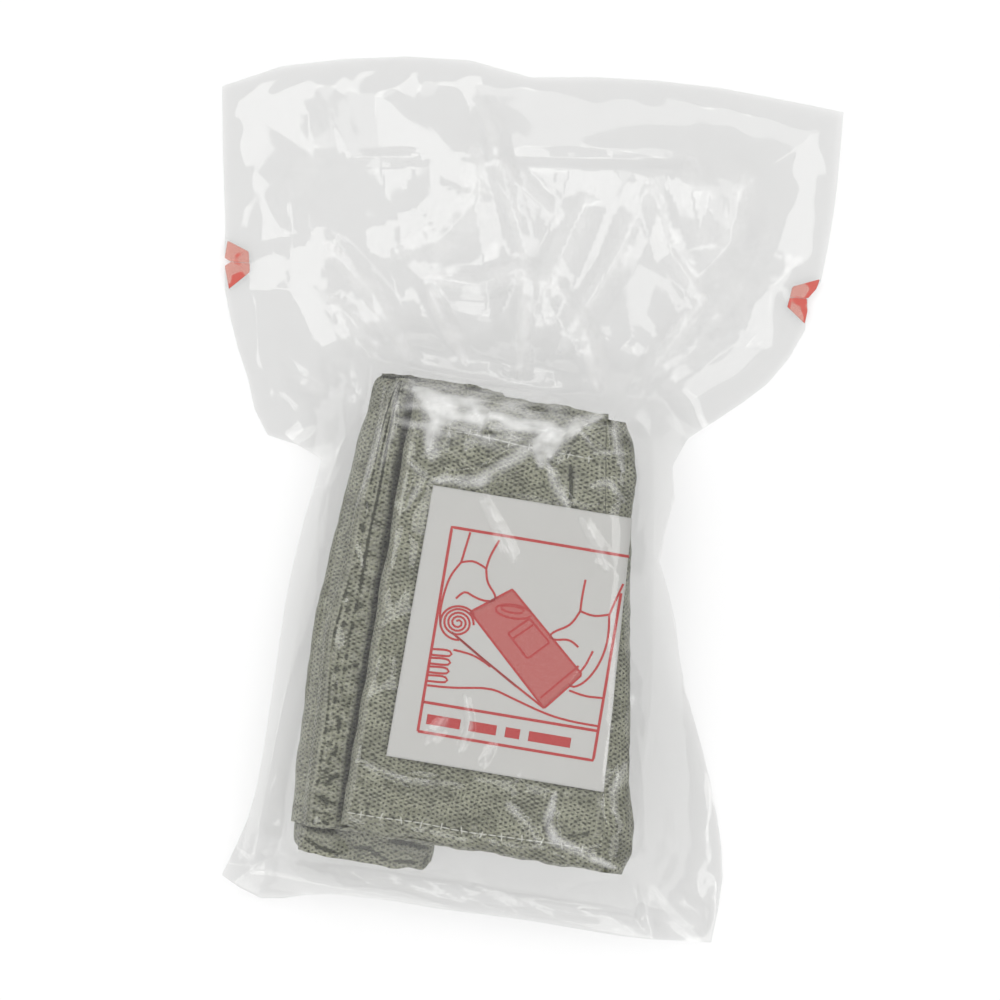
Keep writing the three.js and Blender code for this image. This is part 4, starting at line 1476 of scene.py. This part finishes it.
def build_film():
    """The pouch and its tear strip."""
    pouch, strip = POUCH.grid(FILM_COLUMNS, POUCH_ROWS), STRIP.grid(FILM_COLUMNS, STRIP_ROWS)
    x, y = (np.vstack([below, above[1:]]) for below, above in zip(pouch, strip))
    fans = read_fans(x, y)
    front, back, strain = film_shape(x, y, fans)
    back_thick = np.minimum(FILM_THICK, back - 0.02)
    front_normals, back_normals = film_normals(x, y, fans)
    pouch_rows, strip_rows = slice(0, POUCH_ROWS), slice(POUCH_ROWS - 1, None)
    for part, body, rows in (("pouch", "pouch", pouch_rows), ("strip", "tear_strip", strip_rows)):
        for side, height, thick, normals, white in (
            ("front", front, np.full_like(front, FILM_THICK), front_normals, strain[rows]),
            ("back", back, back_thick, back_normals, None),
        ):
            name = f"{part}_{side}_film"
            film = lay_film(name, body, x[rows], y[rows], height[rows], thick[rows], normals[rows], white)
            if name == "pouch_front_film":
                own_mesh(film)


MARK_RINGS = 10
MARK_LIFT = (0.13, 0.05)


def mark_outline(node, body):
    """A mark's outline from the CAD, fitted to the left notch and to the tear line."""
    side, level = node.split("_")[2:]
    (ax, ay), (bx, by) = POUCH.top[-1], POUCH.top[0]
    outline = outline_of(node)
    if side == "left":
        away = np.hypot(outline[:, 0] - ax, outline[:, 1] - ay) > NOTCH_REACH + 1
        outline = np.vstack([outline[away], (ax, ay), LEFT_MOUTH[level]])
        middle = outline.mean(0)
        outline = outline[np.argsort(np.arctan2(*(outline - middle).T[::-1]))]
    above = ay + (outline[:, 0] - ax) * (by - ay) / (bx - ax)
    near = np.abs(outline[:, 1] - above) < 1.0
    outline[near, 1] = above[near] + (0.04 if body == "tear_strip" else -0.04)
    return outline


def build_tear_marks():
    """Printed marks that follow the film on each side of a notch."""
    for node, body in (
        ("tear_mark_left_lower", "pouch"), ("tear_mark_right_lower", "pouch"),
        ("tear_mark_left_upper", "tear_strip"), ("tear_mark_right_upper", "tear_strip"),
    ):
        outline = mark_outline(node, body)
        centre = outline.mean(0)
        loop = resample(np.vstack([outline, outline[:1]]), 0.7)[:-1]
        rings = [centre + (loop - centre) * ring / MARK_RINGS for ring in range(1, MARK_RINGS + 1)]
        points = np.vstack([*rings, centre])
        front = film_shape(points[:, 0], points[:, 1])[0]
        vertices = np.vstack([stack(*points.T, front + lift) for lift in MARK_LIFT])
        count, size = len(loop), len(points)
        hub, outer = size - 1, size - 1 - count
        upper, rim = [], []
        for k in range(count):
            j = (k + 1) % count
            upper.append([hub, k, j])
            upper += [[a + k, a + count + k, a + count + j, a + j] for a in range(0, outer, count)]
            rim.append([outer + k, size + outer + k, size + outer + j, outer + j])
        lower = [[i + size for i in face][::-1] for face in upper]
        mark = new_piece(node + "_print", vertices, upper + lower + rim)
        place(mark, body, TEAR_INK, "red_ink", node)


# ---------- studio ----------

CAMERA_ROLL = math.radians(9.5)
CAMERA_HEIGHT = 2.0
VIEW_WIDTH = 0.300
VIEW_CENTRE = (0.00165, 0.0374)
SENSOR = 36


# Lights: name, direction and height in degrees, size in metres and power in watts.
LIGHTS = (
    ("key", 305, 60, 0.70, 1.75),
    ("fill", 68, 61, 0.62, 1.25),
    ("back", 15, 57, 0.56, 0.60),
    ("side", 130, 58, 0.56, 0.8),
    ("rim", 205, 54, 0.56, 0.9),
)
FLOOR_HALF = 4000


def build_floor():
    corners = [(FLOOR_HALF * x, FLOOR_HALF * y, 0) for x, y in ((-1, -1), (1, -1), (1, 1), (-1, 1))]
    floor = new_piece("floor", corners, [[0, 1, 2, 3]], soft=False)
    floor.location.z = -0.0004
    m = Nodes("studio_floor")
    colour = m.mix(m.noise(m.place(), 3.0, 2.0), (0.50, 0.50, 0.50), (0.51, 0.51, 0.51))
    glow = m.add("Emission", {"Color": (1, 1, 1, 1), "Strength": 0.45})
    matt = m.add("BsdfDiffuse", {"Color": colour})
    floor.data.materials.append(m.finish(m.add("AddShader", {0: matt, 1: glow})))


def build_sky():
    """Soft light from all round, brighter from above."""
    world = bpy.data.worlds.new("studio")
    world.use_nodes = True
    tree = world.node_tree
    sky = tree.nodes["Background"]
    split = tree.nodes.new("ShaderNodeSeparateXYZ")
    fall = tree.nodes.new("ShaderNodeMapRange")
    tree.links.new(tree.nodes.new("ShaderNodeTexCoord").outputs["Generated"], split.inputs[0])
    tree.links.new(split.outputs["Z"], fall.inputs["Value"])
    for key, value in (("From Min", 0.15), ("From Max", 0.80), ("To Min", 0.42), ("To Max", 0.87)):
        fall.inputs[key].default_value = value
    tree.links.new(fall.outputs["Result"], sky.inputs["Strength"])
    sky.inputs["Color"].default_value = (1.0, 1.0, 1.0, 1)
    bpy.context.scene.world = world


def build_lights():
    for name, azimuth, elevation, size, watts in LIGHTS:
        light = bpy.data.lights.new(name, "AREA")
        light.shape = "RECTANGLE"
        light.size = size
        light.size_y = size * 0.6
        light.energy = watts
        lamp = linked(name, light)
        a, e = math.radians(azimuth), math.radians(elevation)
        lamp.location = (math.sin(a) * math.cos(e), math.cos(a) * math.cos(e) + VIEW_CENTRE[1], math.sin(e))
        aim = -lamp.location
        aim.y += VIEW_CENTRE[1]
        lamp.rotation_euler = aim.to_track_quat("-Z", "Y").to_euler()


def build_camera():
    """A long lens straight above, turned as the photo is."""
    camera = bpy.data.cameras.new("camera")
    camera.sensor_width = SENSOR
    camera.lens = SENSOR * CAMERA_HEIGHT / VIEW_WIDTH
    camera.clip_end = 20
    viewer = linked("camera", camera)
    viewer.location = (*VIEW_CENTRE, CAMERA_HEIGHT)
    viewer.rotation_euler = (0, 0, CAMERA_ROLL)
    bpy.context.scene.camera = viewer
    bpy.context.scene.view_settings.view_transform = "Standard"


contents = [build_flap(), build_base(), build_fold_web(), build_roll(), build_leader_web(), build_slip()]
build_pads()
build_stitches()
build_bars()
build_straps()
build_print()
DRAPE = drape_grid(contents)
build_film()
build_tear_marks()
build_floor()
build_sky()
build_lights()
build_camera()
